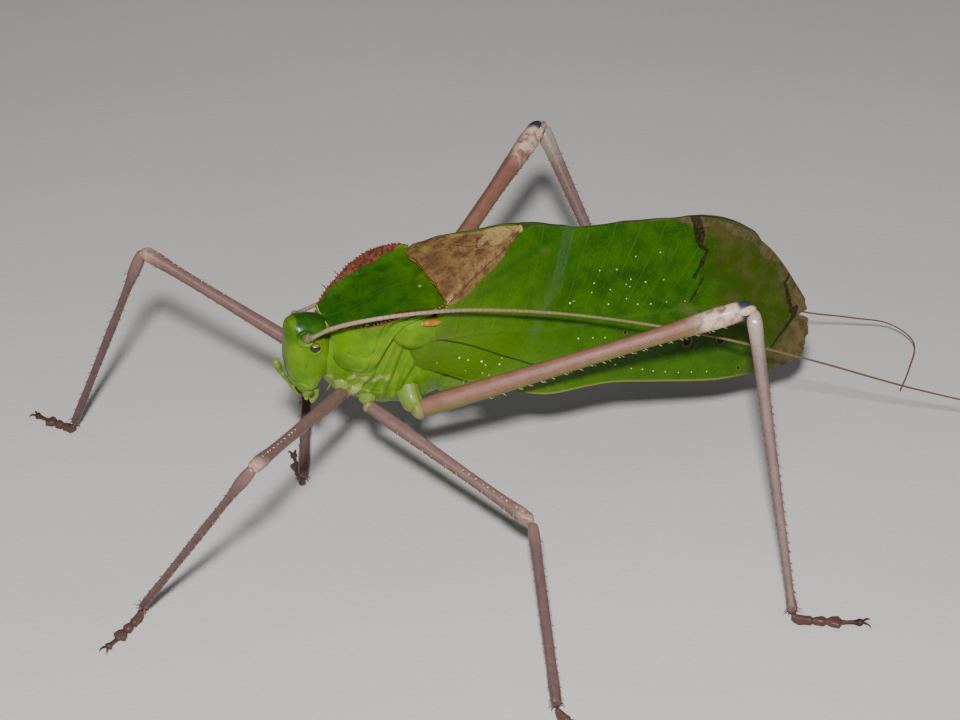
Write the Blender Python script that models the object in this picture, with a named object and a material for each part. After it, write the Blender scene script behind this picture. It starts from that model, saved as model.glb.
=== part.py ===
"""Giant Malaysian katydid, a still life-size model standing on its six feet.

The head points to -X, the left side is -Y and the floor is z = 0. Sizes are in
millimetres until a mesh is made, and Blender's metres after that. The body is
drawn in its own frame, level, and then tilted head-up and lifted by stand().
"""
import math
import random

import bmesh
import bpy
import numpy as np

for old_object in list(bpy.data.objects):
    bpy.data.objects.remove(old_object, do_unlink=True)

MM = 0.001
GAP = 0.3
SEED = 7

# Stance of the body
BODY_HEIGHT = 46.3
BODY_TILT = math.radians(6.9)
STAND_X = -41.49
STAND_Y = 13.68

# Head, in the body frame
EYE_PLACE = (-22.9, 5.15, 2.1)
EYE_RADIUS = 1.2
SCAPE_PLACE = (-25.0, 4.3, 4.4)

# Mouth, in the body frame. A lip row holds its height, its front and its half width.
LIP_ROWS = [(-9.8, -26.2, 1.2), (-10.8, -25.8, 1.6), (-11.8, -25.1, 1.5), (-12.6, -24.2, 0.9)]
JAW_ROUTE = [(-22.6, 1.9, -10.0), (-22.7, 1.8, -11.3), (-22.4, 1.1, -12.4)]
LEFT_PALP = [(-20.8, -3.0, -9.8), (-20.6, -3.6, -11.4), (-20.9, -3.8, -12.6), (-21.8, -3.5, -13.4)]
RIGHT_PALP = [
    (-21.2, 3.4, -9.8), (-22.4, 4.0, -12.8), (-24.2, 3.6, -12.6), (-26.0, 3.2, -10.5), (-27.8, 3.0, -8.0),
    (-29.2, 3.0, -4.8),
]

# Wings, in the body frame: along the body, and down from the ridge of the roof
RIDGE_HEIGHT = 22.0
ROOF_LEAN = math.radians(22)
WING_THICKNESS = 0.6
WING_BULGE = 1.3
VEIN_COUNT = 10
VEIN_RISE = 0.25
MAIN_VEIN_RISE = 0.4

# Legs: lengths in millimetres, angles in degrees. A turn is measured from +X
# towards +Y seen from above, and a rise is upwards from level.
ANKLE_HEIGHT = 3.0
LEG_SIZES = {
    "fore": {"femur": 48.5, "tibia": 58.8, "tarsus": 13.0, "femur_radius": 1.45, "tibia_radius": 1.15},
    "mid": {"femur": 45.0, "tibia": 42.2, "tarsus": 13.0, "femur_radius": 1.4, "tibia_radius": 1.2},
    "hind": {"femur": 76.7, "tibia": 66.3, "tarsus": 16.5, "femur_radius": 2.3, "tibia_radius": 1.65},
}
HIPS = {"fore": (-15.6, 5.6, -9.6), "mid": (-10.2, 6.2, -13.6), "hind": (-0.6, 10.9, -13.3)}
COXA_ROOTS = {"fore": (-16.0, 4.0, -5.0), "mid": (-9.6, 3.6, -8.0), "hind": (-1.6, 4.8, -8.0)}
STANCE = {
    "fore_left": {"femur_turn": -131.5, "femur_rise": 16.9, "tibia_turn": 132.2, "foot_turn": -144.0},
    "fore_right": {"femur_turn": 135.1, "femur_rise": 22.3, "tibia_turn": 139.8, "foot_turn": 127.0},
    "mid_left": {"femur_turn": -54.7, "femur_rise": -18.5, "tibia_turn": -105.6, "foot_turn": -65.0},
    "mid_right": {"femur_turn": 84.2, "femur_rise": -20.0, "tibia_turn": -111.7, "foot_turn": 83.0},
    "hind_left": {"femur_turn": -17.5, "femur_rise": 17.5, "tibia_turn": -99.7, "foot_turn": -25.0},
    "hind_right": {"femur_turn": 37.1, "femur_rise": 18.4, "tibia_turn": -66.1, "foot_turn": 12.0},
}

# Feelers: routes in the standing frame, in millimetres
FEELER_RADIUS = 0.62
FEELER_TIP_RADIUS = 0.26
LEFT_FEELER = [
    (-24.2, -5.2, 54.2), (-19.6, -10.2, 59.4), (-12.2, -14.2, 62.2), (-1.0, -15.8, 62.0), (12.0, -14.8, 58.6),
    (30.0, -15.9, 53.6), (49.5, -19.6, 47.9), (66.9, -23.0, 41.6), (87.9, -27.0, 32.5), (115.4, -30.5, 18.8),
    (140.0, -33.4, 8.4), (163.0, -36.0, 2.6),
]
RIGHT_FEELER = [
    (-24.2, 5.2, 54.0), (-20.6, 9.4, 51.4), (-12.0, 14.2, 49.4), (0.1, 16.6, 48.2), (16.0, 17.8, 47.0),
    (34.0, 18.8, 45.0), (53.0, 19.4, 41.5), (72.0, 18.6, 34.5), (90.0, 17.6, 24.8), (107.0, 14.4, 15.0),
    (123.0, 13.4, 9.0), (134.0, 11.4, 5.4), (137.0, 4.0, 3.6), (131.0, -3.9, 2.6), (125.0, -9.9, 1.8),
]


def finish_look(name, colour, roughness):
    """A plain Principled material of one colour."""
    look = bpy.data.materials.new(name)
    look.use_nodes = True
    shader = look.node_tree.nodes["Principled BSDF"]
    shader.inputs["Base Color"].default_value = (*colour, 1.0)
    shader.inputs["Roughness"].default_value = roughness
    shader.inputs["Metallic"].default_value = 0.0
    return look


LEAF_GREEN = finish_look("leaf_green", (0.10, 0.26, 0.01), 0.35)
BRIGHT_GREEN = finish_look("bright_green", (0.20, 0.38, 0.01), 0.4)
DARK_GREEN = finish_look("dark_green", (0.02, 0.13, 0.01), 0.3)
DRY_BROWN = finish_look("dry_brown", (0.30, 0.16, 0.06), 0.5)
LEG_MAUVE = finish_look("leg_mauve", (0.38, 0.18, 0.14), 0.5)
LEG_CREAM = finish_look("leg_cream", (0.55, 0.36, 0.26), 0.5)
EYE_DARK = finish_look("eye_dark", (0.10, 0.09, 0.06), 0.1)
CLAW_DARK = finish_look("claw_dark", (0.09, 0.05, 0.04), 0.4)


def stand(points):
    """Body frame to standing frame: tilted head-up about Y, lifted, and set over the floor."""
    points = np.atleast_2d(np.asarray(points, float))
    cosine = math.cos(BODY_TILT)
    sine = math.sin(BODY_TILT)
    along = points[:, 0] * cosine + points[:, 2] * sine
    height = -points[:, 0] * sine + points[:, 2] * cosine + BODY_HEIGHT
    return np.stack([along + STAND_X, points[:, 1] + STAND_Y, height], axis=1)


def place(points):
    """Standing frame points that aren't tilted, such as the feelers' routes."""
    return np.asarray(points, float) + np.array([STAND_X, STAND_Y, 0.0])


def direction(turn, rise):
    """Unit vector from a turn about Z and a rise above level, in degrees."""
    turn = math.radians(turn)
    rise = math.radians(rise)
    return np.array([math.cos(rise) * math.cos(turn), math.cos(rise) * math.sin(turn), math.sin(rise)])


def unit(vector):
    return np.asarray(vector, float) / np.linalg.norm(vector)


def smooth_route(points, count):
    """Evenly spaced points on a Catmull-Rom curve through the given ones."""
    points = np.asarray(points, float)
    ends = np.vstack([2 * points[0] - points[1], points, 2 * points[-1] - points[-2]])
    fine = []
    for i in range(1, len(ends) - 2):
        p0, p1, p2, p3 = ends[i - 1:i + 3]
        for t in np.linspace(0, 1, 12, endpoint=False):
            fine.append(0.5 * (2 * p1 + (p2 - p0) * t + (2 * p0 - 5 * p1 + 4 * p2 - p3) * t * t
                               + (3 * p1 - p0 - 3 * p2 + p3) * t ** 3))
    fine.append(points[-1])
    fine = np.array(fine)
    steps = np.concatenate([[0], np.cumsum(np.linalg.norm(np.diff(fine, axis=0), axis=1))])
    wanted = np.linspace(0, steps[-1], count)
    return np.stack([np.interp(wanted, steps, fine[:, k]) for k in range(points.shape[1])], axis=1)


def add_object(name, points, faces, look):
    """A closed mesh object from millimetre points, its faces turned outwards and split into triangles."""
    mesh = bpy.data.meshes.new(name)
    mesh.from_pydata([tuple(p) for p in np.asarray(points) * MM], [], faces)
    work = bmesh.new()
    work.from_mesh(mesh)
    bmesh.ops.recalc_face_normals(work, faces=work.faces)
    bmesh.ops.triangulate(work, faces=work.faces)
    work.to_mesh(mesh)
    work.free()
    thing = bpy.data.objects.new(name, mesh)
    thing.data.materials.append(look)
    bpy.context.scene.collection.objects.link(thing)
    return thing


def walls_of(rings):
    """The quads between neighbouring rings of a stack."""
    size = len(rings[0])
    faces = []
    for r in range(len(rings) - 1):
        for k in range(size):
            a = r * size + k
            b = r * size + (k + 1) % size
            faces.append((a, b, b + size, a + size))
    return faces


def flat_ended(rings):
    """Points and faces of a stack of rings, each end closed by one flat face."""
    size = len(rings[0])
    base = (len(rings) - 1) * size
    faces = walls_of(rings)
    faces.append(tuple(range(size - 1, -1, -1)))
    faces.append(tuple(range(base, base + size)))
    return np.vstack(rings), faces


def skin_of(rings, start=None, end=None):
    """Points and faces of a stack of rings, closed by a fan to a point at each end."""
    rings = [np.asarray(ring, float) for ring in rings]
    size = len(rings[0])
    start = rings[0].mean(axis=0) if start is None else np.asarray(start, float)
    end = rings[-1].mean(axis=0) if end is None else np.asarray(end, float)
    points = np.vstack(rings + [start[None], end[None]])
    faces = walls_of(rings)
    first = len(rings) * size
    last = first + 1
    base = (len(rings) - 1) * size
    for k in range(size):
        faces.append((first, (k + 1) % size, k))
        faces.append((last, base + k, base + (k + 1) % size))
    return points, faces


def tube(route, radii, sides, wide=1.0, up=(0.0, 0.0, 1.0)):
    """Rings square to a route. The radius across the bend plane is multiplied by wide."""
    route = np.asarray(route, float)
    heading = np.gradient(route, axis=0)
    heading /= np.linalg.norm(heading, axis=1)[:, None]
    side = np.cross(heading[0], np.asarray(up, float))
    if np.linalg.norm(side) < 0.05:
        side = np.cross(heading[0], np.array([1.0, 0.0, 0.0]))
    rings = []
    for point, ahead, radius in zip(route, heading, radii):
        side = unit(side - ahead * np.dot(side, ahead))
        over = np.cross(side, ahead)
        angles = (np.arange(sides) + 0.5) * 2 * math.pi / sides
        rings.append(point + radius * (np.cos(angles)[:, None] * side * wide + np.sin(angles)[:, None] * over))
    return rings


def rounded_tube(route, radii, sides, dome=0.6, grow=0.0, wide=1.0):
    """A tube with a low dome at both ends; grow makes the fat copy that a neighbour is cut clear of."""
    route = np.asarray(route, float)
    radii = np.asarray(radii, float) + grow
    first = unit(route[0] - route[1])
    last = unit(route[-1] - route[-2])
    rings = tube(route, radii, sides, wide)
    start_ring = route[0] + first * (radii[0] * dome * 0.6 + grow * 0.5) + (rings[0] - route[0]) * 0.72
    end_ring = route[-1] + last * (radii[-1] * dome * 0.6 + grow * 0.5) + (rings[-1] - route[-1]) * 0.72
    start = route[0] + first * (radii[0] * dome + grow * 0.5)
    end = route[-1] + last * (radii[-1] * dome + grow * 0.5)
    return skin_of([start_ring] + rings + [end_ring], start, end)


def settle(target):
    """Apply what a modifier makes, as a clean triangle mesh of the largest closed surface."""
    graph = bpy.context.evaluated_depsgraph_get()
    made = bpy.data.meshes.new_from_object(target.evaluated_get(graph))
    target.modifiers.clear()
    work = bmesh.new()
    work.from_mesh(made)
    bmesh.ops.triangulate(work, faces=work.faces)
    bmesh.ops.remove_doubles(work, verts=work.verts, dist=0.000002)
    bmesh.ops.dissolve_degenerate(work, edges=work.edges, dist=0.000002)
    bmesh.ops.triangulate(work, faces=work.faces)
    unseen = set(work.faces)
    shells = []
    while unseen:
        shell = [unseen.pop()]
        front = list(shell)
        while front:
            face = front.pop()
            for edge in face.edges:
                for other in edge.link_faces:
                    if other in unseen:
                        unseen.remove(other)
                        shell.append(other)
                        front.append(other)
        shells.append(shell)
    shells.sort(key=lambda shell: sum(face.calc_area() for face in shell), reverse=True)
    for shell in shells[1:]:
        bmesh.ops.delete(work, geom=shell, context="FACES")
    loose = [vert for vert in work.verts if not vert.link_faces]
    bmesh.ops.delete(work, geom=loose, context="VERTS")
    work.to_mesh(made)
    work.free()
    made.name = target.name
    target.data = made
    return target


def carve(target, *cutters):
    """Cut a node clear of fat copies of its neighbours, given as points and faces."""
    for points, faces in cutters:
        cutter = add_object("cutter", points, faces, LEG_CREAM)
        cut = target.modifiers.new("clear", "BOOLEAN")
        cut.operation = "DIFFERENCE"
        cut.solver = "EXACT"
        cut.object = cutter
        settle(target)
        bpy.data.objects.remove(cutter, do_unlink=True)
    return target


def fuse(target, pieces):
    """Join small closed pieces, given as points and faces, to the node they grow from."""
    group = bpy.data.collections.new("pieces")
    bpy.context.scene.collection.children.link(group)
    for points, faces in pieces:
        piece = add_object("piece", points, faces, LEG_CREAM)
        bpy.context.scene.collection.objects.unlink(piece)
        group.objects.link(piece)
    join = target.modifiers.new("join", "BOOLEAN")
    join.operation = "UNION"
    join.solver = "EXACT"
    join.operand_type = "COLLECTION"
    join.collection = group
    settle(target)
    for piece in list(group.objects):
        bpy.data.objects.remove(piece, do_unlink=True)
    bpy.data.collections.remove(group)
    return target


def spine(root, ahead, lean, length, radius):
    """A three-sided thorn: its foot sunk below the surface, leaning along lean towards its tip."""
    ahead = unit(ahead)
    lean = unit(lean)
    foot = np.asarray(root, float) - ahead * radius * 1.2
    tip = np.asarray(root, float) + ahead * length + lean * length * 0.35
    side = unit(np.cross(ahead, lean))
    across = np.cross(side, ahead)
    angles = np.arange(3) * 2 * math.pi / 3
    ring = foot + radius * (np.cos(angles)[:, None] * across + np.sin(angles)[:, None] * side)
    points = np.vstack([ring, tip[None]])
    return points, [(2, 1, 0), (0, 1, 3), (1, 2, 3), (2, 0, 3)]


# Body frame outlines


def head_rings(grow=0.0):
    """Level rings of the upright head, from the crown down to the edge of the mouth.

    Each row holds the height, the front, the back and the half width.
    """
    rows = [
        (7.2, -26.6, -20.6, 2.0), (6.4, -27.8, -19.4, 3.3), (4.7, -28.3, -18.6, 4.5), (2.0, -28.5, -18.0, 5.2),
        (-1.2, -28.4, -17.6, 5.6), (-4.4, -27.9, -17.6, 5.4), (-7.2, -26.9, -18.4, 4.7), (-9.4, -25.6, -19.6, 3.6),
        (-10.8, -24.6, -20.4, 2.6),
    ]
    rings = []
    for height, front, back, half in rows:
        angles = np.arange(16) * 2 * math.pi / 16
        reach = (back - front) / 2 + grow
        middle = (back + front) / 2
        cosine = np.cos(angles)
        sine = np.sin(angles)
        along = middle - np.sign(cosine) * np.abs(cosine) ** 0.95 * reach
        across = np.sign(sine) * np.abs(sine) ** 0.9 * (half + grow)
        rings.append(np.stack([along, across, np.full(16, height)], axis=1))
    return rings


def head_blank(grow=0.0):
    rings = head_rings(grow)
    crown = rings[0].mean(axis=0) + np.array([0, 0, 0.5 + grow])
    chin = rings[-1].mean(axis=0) - np.array([0, 0, 0.6 + grow])
    points, faces = skin_of(rings, crown, chin)
    return stand(points), faces


def body_loft(rows, power, sides, grow=0.0):
    """Upright rings along the body. Each row holds x, lowest z, highest z, half width and egg shape."""
    rings = []
    for x, low, high, half, egg in rows:
        angles = (np.arange(sides) + 0.5) * 2 * math.pi / sides
        cosine = np.cos(angles)
        sine = np.sin(angles)
        height = (high + low) / 2 + np.sign(cosine) * np.abs(cosine) ** power * ((high - low) / 2 + grow)
        across = np.sign(sine) * np.abs(sine) ** power * (half + grow) * (1 - egg * cosine)
        rings.append(np.stack([np.full(sides, x), across, height], axis=1))
    return rings


THORAX_ROWS = [
    (-20.4, -5.6, 3.2, 3.6, 0.1), (-17.6, -9.8, 5.2, 5.6, 0.12), (-14.0, -12.6, 6.8, 7.0, 0.12),
    (-9.5, -14.7, 8.6, 7.9, 0.12), (-5.0, -15.8, 9.9, 8.5, 0.1), (-0.5, -16.2, 10.9, 8.7, 0.08),
    (3.4, -16.0, 11.4, 8.4, 0.08), (6.4, -15.2, 11.0, 7.6, 0.1),
]


def thorax_blank(grow=0.0):
    """The chest, with a shoulder bulging on each side between the saddle's lobe and the fore wing."""
    rings = body_loft(THORAX_ROWS, 0.9, 16, grow)
    for ring in rings:
        bulge = 3.2 * np.exp(-((ring[:, 0] + 2.5) / 5.5) ** 2 - ((ring[:, 2] - 6.5) / 4.2) ** 2)
        ring[:, 1] += np.sign(ring[:, 1]) * bulge
    start = rings[0].mean(axis=0) - np.array([0.3 + grow, 0, 0])
    end = rings[-1].mean(axis=0) + np.array([0.3 + grow, 0, 0])
    points, faces = skin_of(rings, start, end)
    return stand(points), faces


# Pronotum stations: x, keel half width, keel height, flank half width, lobe foot height
PRONOTUM_ROWS = [
    (-19.9, 4.3, 6.6, 6.3, -0.4), (-18.6, 5.6, 7.4, 7.8, -1.8), (-16.0, 8.2, 8.5, 9.3, -2.5),
    (-13.0, 10.3, 9.9, 10.0, -2.8), (-10.6, 11.7, 11.2, 10.4, -2.0), (-9.0, 12.2, 12.0, 10.6, 2.0),
    (-7.0, 12.7, 13.0, 11.0, 6.8), (-3.6, 13.4, 13.8, 11.8, 10.2), (0.2, 13.6, 14.2, 12.6, 12.2),
    (2.4, 12.8, 14.6, 12.4, 13.2), (3.4, 11.6, 14.8, 11.3, 13.6),
]
PRONOTUM_FRONT_LEAN = 0.17


def pronotum_rings(grow=0.0):
    """Rings across the saddle: sunken top, upturned keel, flank and lobe. The front rim slopes back."""
    rings = []
    for number, (x, keel, top, flank, foot) in enumerate(PRONOTUM_ROWS):
        sink = float(np.interp(x, [-19.9, -17.5, -11.0, 0.0, 3.4], [0.5, 1.2, 1.7, 1.5, 1.0]))
        half = [
            (0.0, top - sink + 0.25 + grow), (keel * 0.6, top - sink + 0.15 + grow),
            (keel * 0.84, top - 0.6 * sink + grow), (keel + grow, top + 0.2 + grow), (keel - 0.1 + grow, top - 0.5),
            (flank + grow, foot + (top - foot) * 0.5), (flank - 0.2 + grow, foot + 0.4), (flank - 1.0, foot - grow),
            (flank * 0.5, foot - grow),
        ]
        lean = PRONOTUM_FRONT_LEAN * max(0.0, 1 - number / 3)
        left = [(x + lean * (top - z), -y, z) for y, z in half]
        right = [(x + lean * (top - z), y, z) for y, z in half[1:]][::-1]
        rings.append(np.array(left + right))
    rings[0][:, 0] -= grow
    rings[-1][:, 0] += grow
    return rings


def pronotum_blank(grow=0.0):
    points, faces = flat_ended(pronotum_rings(grow))
    return stand(points), faces


ABDOMEN_END = 52.0
ABDOMEN_SEGMENTS = 9


def abdomen_rows():
    """Egg-shaped rings with a shallow groove between segments, narrowing to the tail."""
    rows = []
    start = 7.0
    step = (ABDOMEN_END - start) / ABDOMEN_SEGMENTS
    for k in range(ABDOMEN_SEGMENTS):
        for share, squeeze in ((0.04, 0.93), (0.35, 1.0), (0.93, 0.99)):
            x = start + (k + share) * step
            t = (x - start) / (ABDOMEN_END - start)
            half = 7.9 * (1 - 0.52 * t ** 1.6) * squeeze
            middle = -4.0 - 1.0 * t
            tall = (11.0 * (1 - 0.62 * t ** 1.2)) * squeeze
            rows.append((x, middle - tall, middle + tall, half, 0.28))
    return rows


def abdomen_blank(grow=0.0):
    rings = body_loft(abdomen_rows(), 0.95, 12, grow)
    start = rings[0].mean(axis=0) - np.array([0.1 + grow, 0, 0])
    end = rings[-1].mean(axis=0) + np.array([1.2 + grow, 0, 0])
    points, faces = skin_of(rings, start, end)
    return stand(points), faces


# Wing outlines: x along the body, w down the roof from the ridge
WING_TOP = [
    (4.6, 7.2), (10.0, 4.5), (18.0, 1.0), (26.0, -2.2), (34.5, -1.3), (39.6, -0.2), (53.5, -0.2), (66.0, 0.2),
    (72.5, 1.3), (78.9, 3.8), (83.9, 6.8), (88.6, 11.1), (93.3, 17.5), (95.7, 21.5), (97.0, 25.0),
]
WING_FOOT = [
    (-3.4, 25.6), (4.9, 29.0), (11.7, 31.8), (20.0, 34.8), (29.5, 36.7), (37.7, 36.0), (45.7, 35.8), (55.6, 36.9),
    (69.5, 38.5), (76.6, 38.6), (87.0, 37.9), (93.2, 36.6), (95.6, 34.6),
]
WING_MAIN_VEIN = [(-3.2, 17.5), (12.0, 18.6), (30.0, 20.6), (50.0, 20.2), (70.0, 20.6), (86.0, 24.0), (96.6, 29.6)]


def vein_stations(count, spread):
    """Shares along the wing: a close group of three columns for each cross vein."""
    shares = [0.0]
    for k in range(count):
        middle = (k + 0.7) / (count + 0.3)
        shares += [middle - spread, middle, middle + spread]
    shares.append(1.0)
    return shares


def at_share(curve, share):
    place_on = share * (len(curve) - 1)
    low = min(int(place_on), len(curve) - 2)
    return curve[low] + (curve[low + 1] - curve[low]) * (place_on - low)


def front_flare(x):
    """How far the roof's upper edge stands out from its plane near the shoulders."""
    return np.interp(x, [0.0, 4.6, 10.0, 18.0, 26.0, 36.0], [9.6, 8.4, 6.3, 3.6, 1.1, 0.0])


def roof_point(x, w, share_down, side):
    """A point of one wing's middle surface: the leaning plane, its bulge and the flare at the shoulder."""
    bulge = WING_BULGE * math.sin(math.pi * min(max(share_down, 0.0), 1.0)) * np.interp(x, [0, 60, 97], [1.0, 1.0, 0.3])
    out = 0.48 + max(w, 0.0) * math.sin(ROOF_LEAN) + bulge + front_flare(x) * (1 - share_down)
    out -= np.interp(x, [-4, 4, 20, 36], [0.6, 1.5, 1.5, 0.0]) * share_down ** 2
    return np.array([x, side * out, RIDGE_HEIGHT - w * math.cos(ROOF_LEAN)])


def shell_from_grid(grid, raise_out, side, thickness):
    """A thin closed shell about a grid of middle points, its two faces split alike."""
    along = np.gradient(grid, axis=0)
    down = np.gradient(grid, axis=1)
    normal = np.cross(along, down)
    normal /= np.linalg.norm(normal, axis=2)[:, :, None]
    if np.mean(normal[:, :, 1]) * side < 0:
        normal = -normal
    outer = grid + normal * (thickness / 2 + raise_out)[:, :, None]
    inner = grid - normal * (thickness / 2)
    columns, rows = grid.shape[:2]
    points = np.vstack([outer.reshape(-1, 3), inner.reshape(-1, 3)])
    shift = columns * rows
    faces = []
    for i in range(columns - 1):
        for j in range(rows - 1):
            a = i * rows + j
            b = (i + 1) * rows + j
            c = b + 1
            d = a + 1
            for f in ((a, b, c), (a, c, d)):
                faces.append(f)
                faces.append(tuple(v + shift for v in reversed(f)))
    rim = [i * rows for i in range(columns)]
    rim += [(columns - 1) * rows + j for j in range(1, rows)]
    rim += [i * rows + rows - 1 for i in range(columns - 2, -1, -1)]
    rim += [j for j in range(rows - 2, 0, -1)]
    for k in range(len(rim)):
        a = rim[k]
        b = rim[(k + 1) % len(rim)]
        faces.append((b, a, a + shift, b + shift))
    return points, faces


def make_tegmen(name, side):
    """One leathery fore wing, leaf-shaped, with its cross veins and main vein raised on its outer face."""
    top = smooth_route(WING_TOP, 60)
    main = smooth_route(WING_MAIN_VEIN, 60)
    foot = smooth_route(WING_FOOT, 60)
    shares = vein_stations(VEIN_COUNT, 0.011)
    rows_down = [0.0, 0.12, 0.5, 0.93, 1.0, 1.07, 1.5, 1.9, 2.0]
    grid = np.zeros((len(shares), len(rows_down), 3))
    rise = np.zeros((len(shares), len(rows_down)))
    for i, share in enumerate(shares):
        t = at_share(top, share)
        m = at_share(main, share)
        f = at_share(foot, share)
        is_vein = i % 3 == 2 and 0 < i < len(shares) - 1
        for j, level in enumerate(rows_down):
            spot = t + (m - t) * level if level <= 1.0 else m + (f - m) * (level - 1.0)
            down = (spot[1] - t[1]) / (f[1] - t[1])
            grid[i, j] = roof_point(spot[0], spot[1], down, side)
            if is_vein and 0.1 < level < 1.95:
                rise[i, j] = VEIN_RISE
            if level == 1.0:
                rise[i, j] = MAIN_VEIN_RISE * (1 - 0.5 * share)
    rise[0] = 0.0
    rise[-1] = 0.0
    points, faces = shell_from_grid(grid, rise, side, WING_THICKNESS)
    return add_object(name, stand(points), faces, LEAF_GREEN)


def make_song_field(name):
    """The left fore wing's flat brown back part, a triangle lying over the body behind the pronotum."""
    top = smooth_route(WING_TOP, 60)
    stations = np.linspace(3.9, 24.4, 8)
    rows = 7
    grid = np.zeros((len(stations), rows, 3))
    rise = np.zeros((len(stations), rows))
    for i, x in enumerate(stations):
        w = float(np.interp(x, top[:, 0], top[:, 1]))
        edge = roof_point(x, w, 0.0, 1)
        half = edge[1] - 0.75
        for j in range(rows):
            y = -half + 2 * half * j / (rows - 1)
            crown = 0.9 * (1 - (y / half) ** 2) * half / 11.0
            grid[i, j] = (x, y, edge[2] + 0.15 + crown)
            if i == 3:
                rise[i, j] = VEIN_RISE
    points, faces = shell_from_grid(grid, rise, 1, WING_THICKNESS)
    return add_object(name, stand(points), faces, DRY_BROWN)


def make_hind_wing(name, side):
    """A hind wing folded like a fan between the fore wing and the abdomen."""
    stations = np.linspace(8.0, 90.0, 10)
    rows = 5
    grid = np.zeros((len(stations), rows, 3))
    for i, x in enumerate(stations):
        high = np.interp(x, [8, 26, 70, 90], [11.5, 19.0, 17.5, 3.0])
        low = np.interp(x, [8, 26, 50, 62, 90], [9.6, 8.6, 6.4, -3.0, -7.0])
        for j in range(rows):
            t = j / (rows - 1)
            z = high + (low - high) * t
            pleat = 0.45 if j % 2 else -0.1
            grid[i, j] = (x, side * (1.3 + pleat + 0.16 * (high - z)), z)
    points, faces = shell_from_grid(grid, np.zeros(grid.shape[:2]), side, 0.55)
    return add_object(name, stand(points), faces, LEG_CREAM)


# Legs


def leg_route(name):
    """Hip, knee and ankle of one leg, from its lengths and the angles of its stance."""
    pair, side = name.split("_")
    sizes = LEG_SIZES[pair]
    pose = STANCE[name]
    sign = -1 if side == "left" else 1
    x, y, z = HIPS[pair]
    hip = stand((x, sign * y, z))[0]
    knee = hip + direction(pose["femur_turn"], pose["femur_rise"]) * sizes["femur"]
    fall = math.degrees(math.asin((knee[2] - ANKLE_HEIGHT) / sizes["tibia"]))
    ankle = knee + direction(pose["tibia_turn"], -fall) * sizes["tibia"]
    return hip, knee, ankle


def coxa_shape(name, grow=0.0):
    pair, side = name.split("_")
    sign = -1 if side == "left" else 1
    x, y, z = COXA_ROOTS[pair]
    root = stand((x, sign * y, z))[0]
    hip = leg_route(name)[0]
    size = LEG_SIZES[pair]["femur_radius"]
    girth = 0.8 if pair == "hind" else 1.0
    middle = (root + hip) / 2
    radii = [size * 1.6 * girth, size * 1.4 * girth, size * 1.08 * max(girth, 0.92)]
    return rounded_tube([root, middle, hip], radii, 8, 0.8, grow)


FEMUR_PROFILES = {
    "fore": [(0.0, 0.95), (0.12, 1.08), (0.35, 0.98), (0.62, 0.86), (0.84, 0.92), (0.94, 1.08), (1.0, 0.95)],
    "mid": [(0.0, 0.95), (0.12, 1.08), (0.35, 1.0), (0.62, 0.9), (0.84, 0.96), (0.94, 1.12), (1.0, 0.98)],
    "hind": [
        (0.0, 0.78), (0.06, 0.98), (0.18, 1.0), (0.36, 0.92), (0.6, 0.82), (0.72, 0.84), (0.82, 0.97), (0.94, 1.02),
        (1.0, 0.82),
    ],
}


def femur_shape(name, grow=0.0):
    pair = name.split("_")[0]
    hip, knee, _ = leg_route(name)
    profile = FEMUR_PROFILES[pair]
    route = [hip + (knee - hip) * share for share, _ in profile]
    radii = [LEG_SIZES[pair]["femur_radius"] * size for _, size in profile]
    return rounded_tube(route, radii, 8, 0.8, grow)


TIBIA_PROFILES = {
    "fore": [(0.0, 0.85), (0.05, 1.18), (0.1, 1.22), (0.16, 0.98), (0.45, 0.9), (0.75, 0.82), (0.97, 0.84), (1.0, 0.76)],
    "mid": [(0.0, 0.85), (0.06, 1.1), (0.15, 1.02), (0.45, 0.98), (0.75, 0.94), (0.97, 0.94), (1.0, 0.84)],
    "hind": [
        (0.0, 0.8), (0.04, 1.08), (0.1, 1.0), (0.3, 0.86), (0.55, 0.76), (0.8, 0.7), (0.95, 0.72), (0.98, 0.8),
        (1.0, 0.7),
    ],
}


def tibia_shape(name, grow=0.0):
    pair = name.split("_")[0]
    _, knee, ankle = leg_route(name)
    profile = TIBIA_PROFILES[pair]
    start = knee + unit(ankle - knee) * LEG_SIZES[pair]["femur_radius"] * 0.3
    route = [start + (ankle - start) * share for share, _ in profile]
    radii = [LEG_SIZES[pair]["tibia_radius"] * size for _, size in profile]
    return rounded_tube(route, radii, 8, 0.8, grow)


def limb_frame(a, b, outward):
    """Heading along a limb, with its outer side and its upper side square to it."""
    ahead = unit(b - a)
    outer = unit(np.asarray(outward) - ahead * np.dot(outward, ahead))
    upper = np.cross(ahead, outer)
    if upper[2] < 0:
        upper = -upper
    return ahead, outer, upper


def spine_row(a, b, facing, radius_at, first, last, count, length, size, rng):
    """A row of thorns along a limb on the side it faces, each leaning towards the limb's end."""
    ahead = unit(b - a)
    facing = unit(facing - ahead * np.dot(facing, ahead))
    pieces = []
    for k in range(count):
        share = first + (last - first) * (k + 0.25 * rng.uniform(-1, 1)) / max(count - 1, 1)
        root = a + (b - a) * share + facing * radius_at(share) * 0.86
        tall = length * rng.uniform(0.85, 1.15)
        pieces.append(spine(root, facing, ahead, tall, size))
    return pieces


def profile_radius(profile, size):
    shares = [share for share, _ in profile]
    sizes = [value * size for _, value in profile]
    return lambda share: float(np.interp(share, shares, sizes))


TARSUS_PROFILE = [
    (0.00, 0.60, 1.0, 2.5), (0.08, 0.78, 0.0, 2.2), (0.26, 0.86, 0.0, 1.8), (0.29, 0.60, 0.0, 1.5),
    (0.33, 0.95, 0.0, 1.75), (0.44, 1.02, 0.0, 1.7), (0.47, 0.62, 0.0, 1.4), (0.51, 1.20, 0.0, 1.6),
    (0.63, 1.55, 0.0, 1.4), (0.67, 0.56, 0.15, 1.3), (0.95, 0.55, 0.4, 1.4),
]


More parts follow.
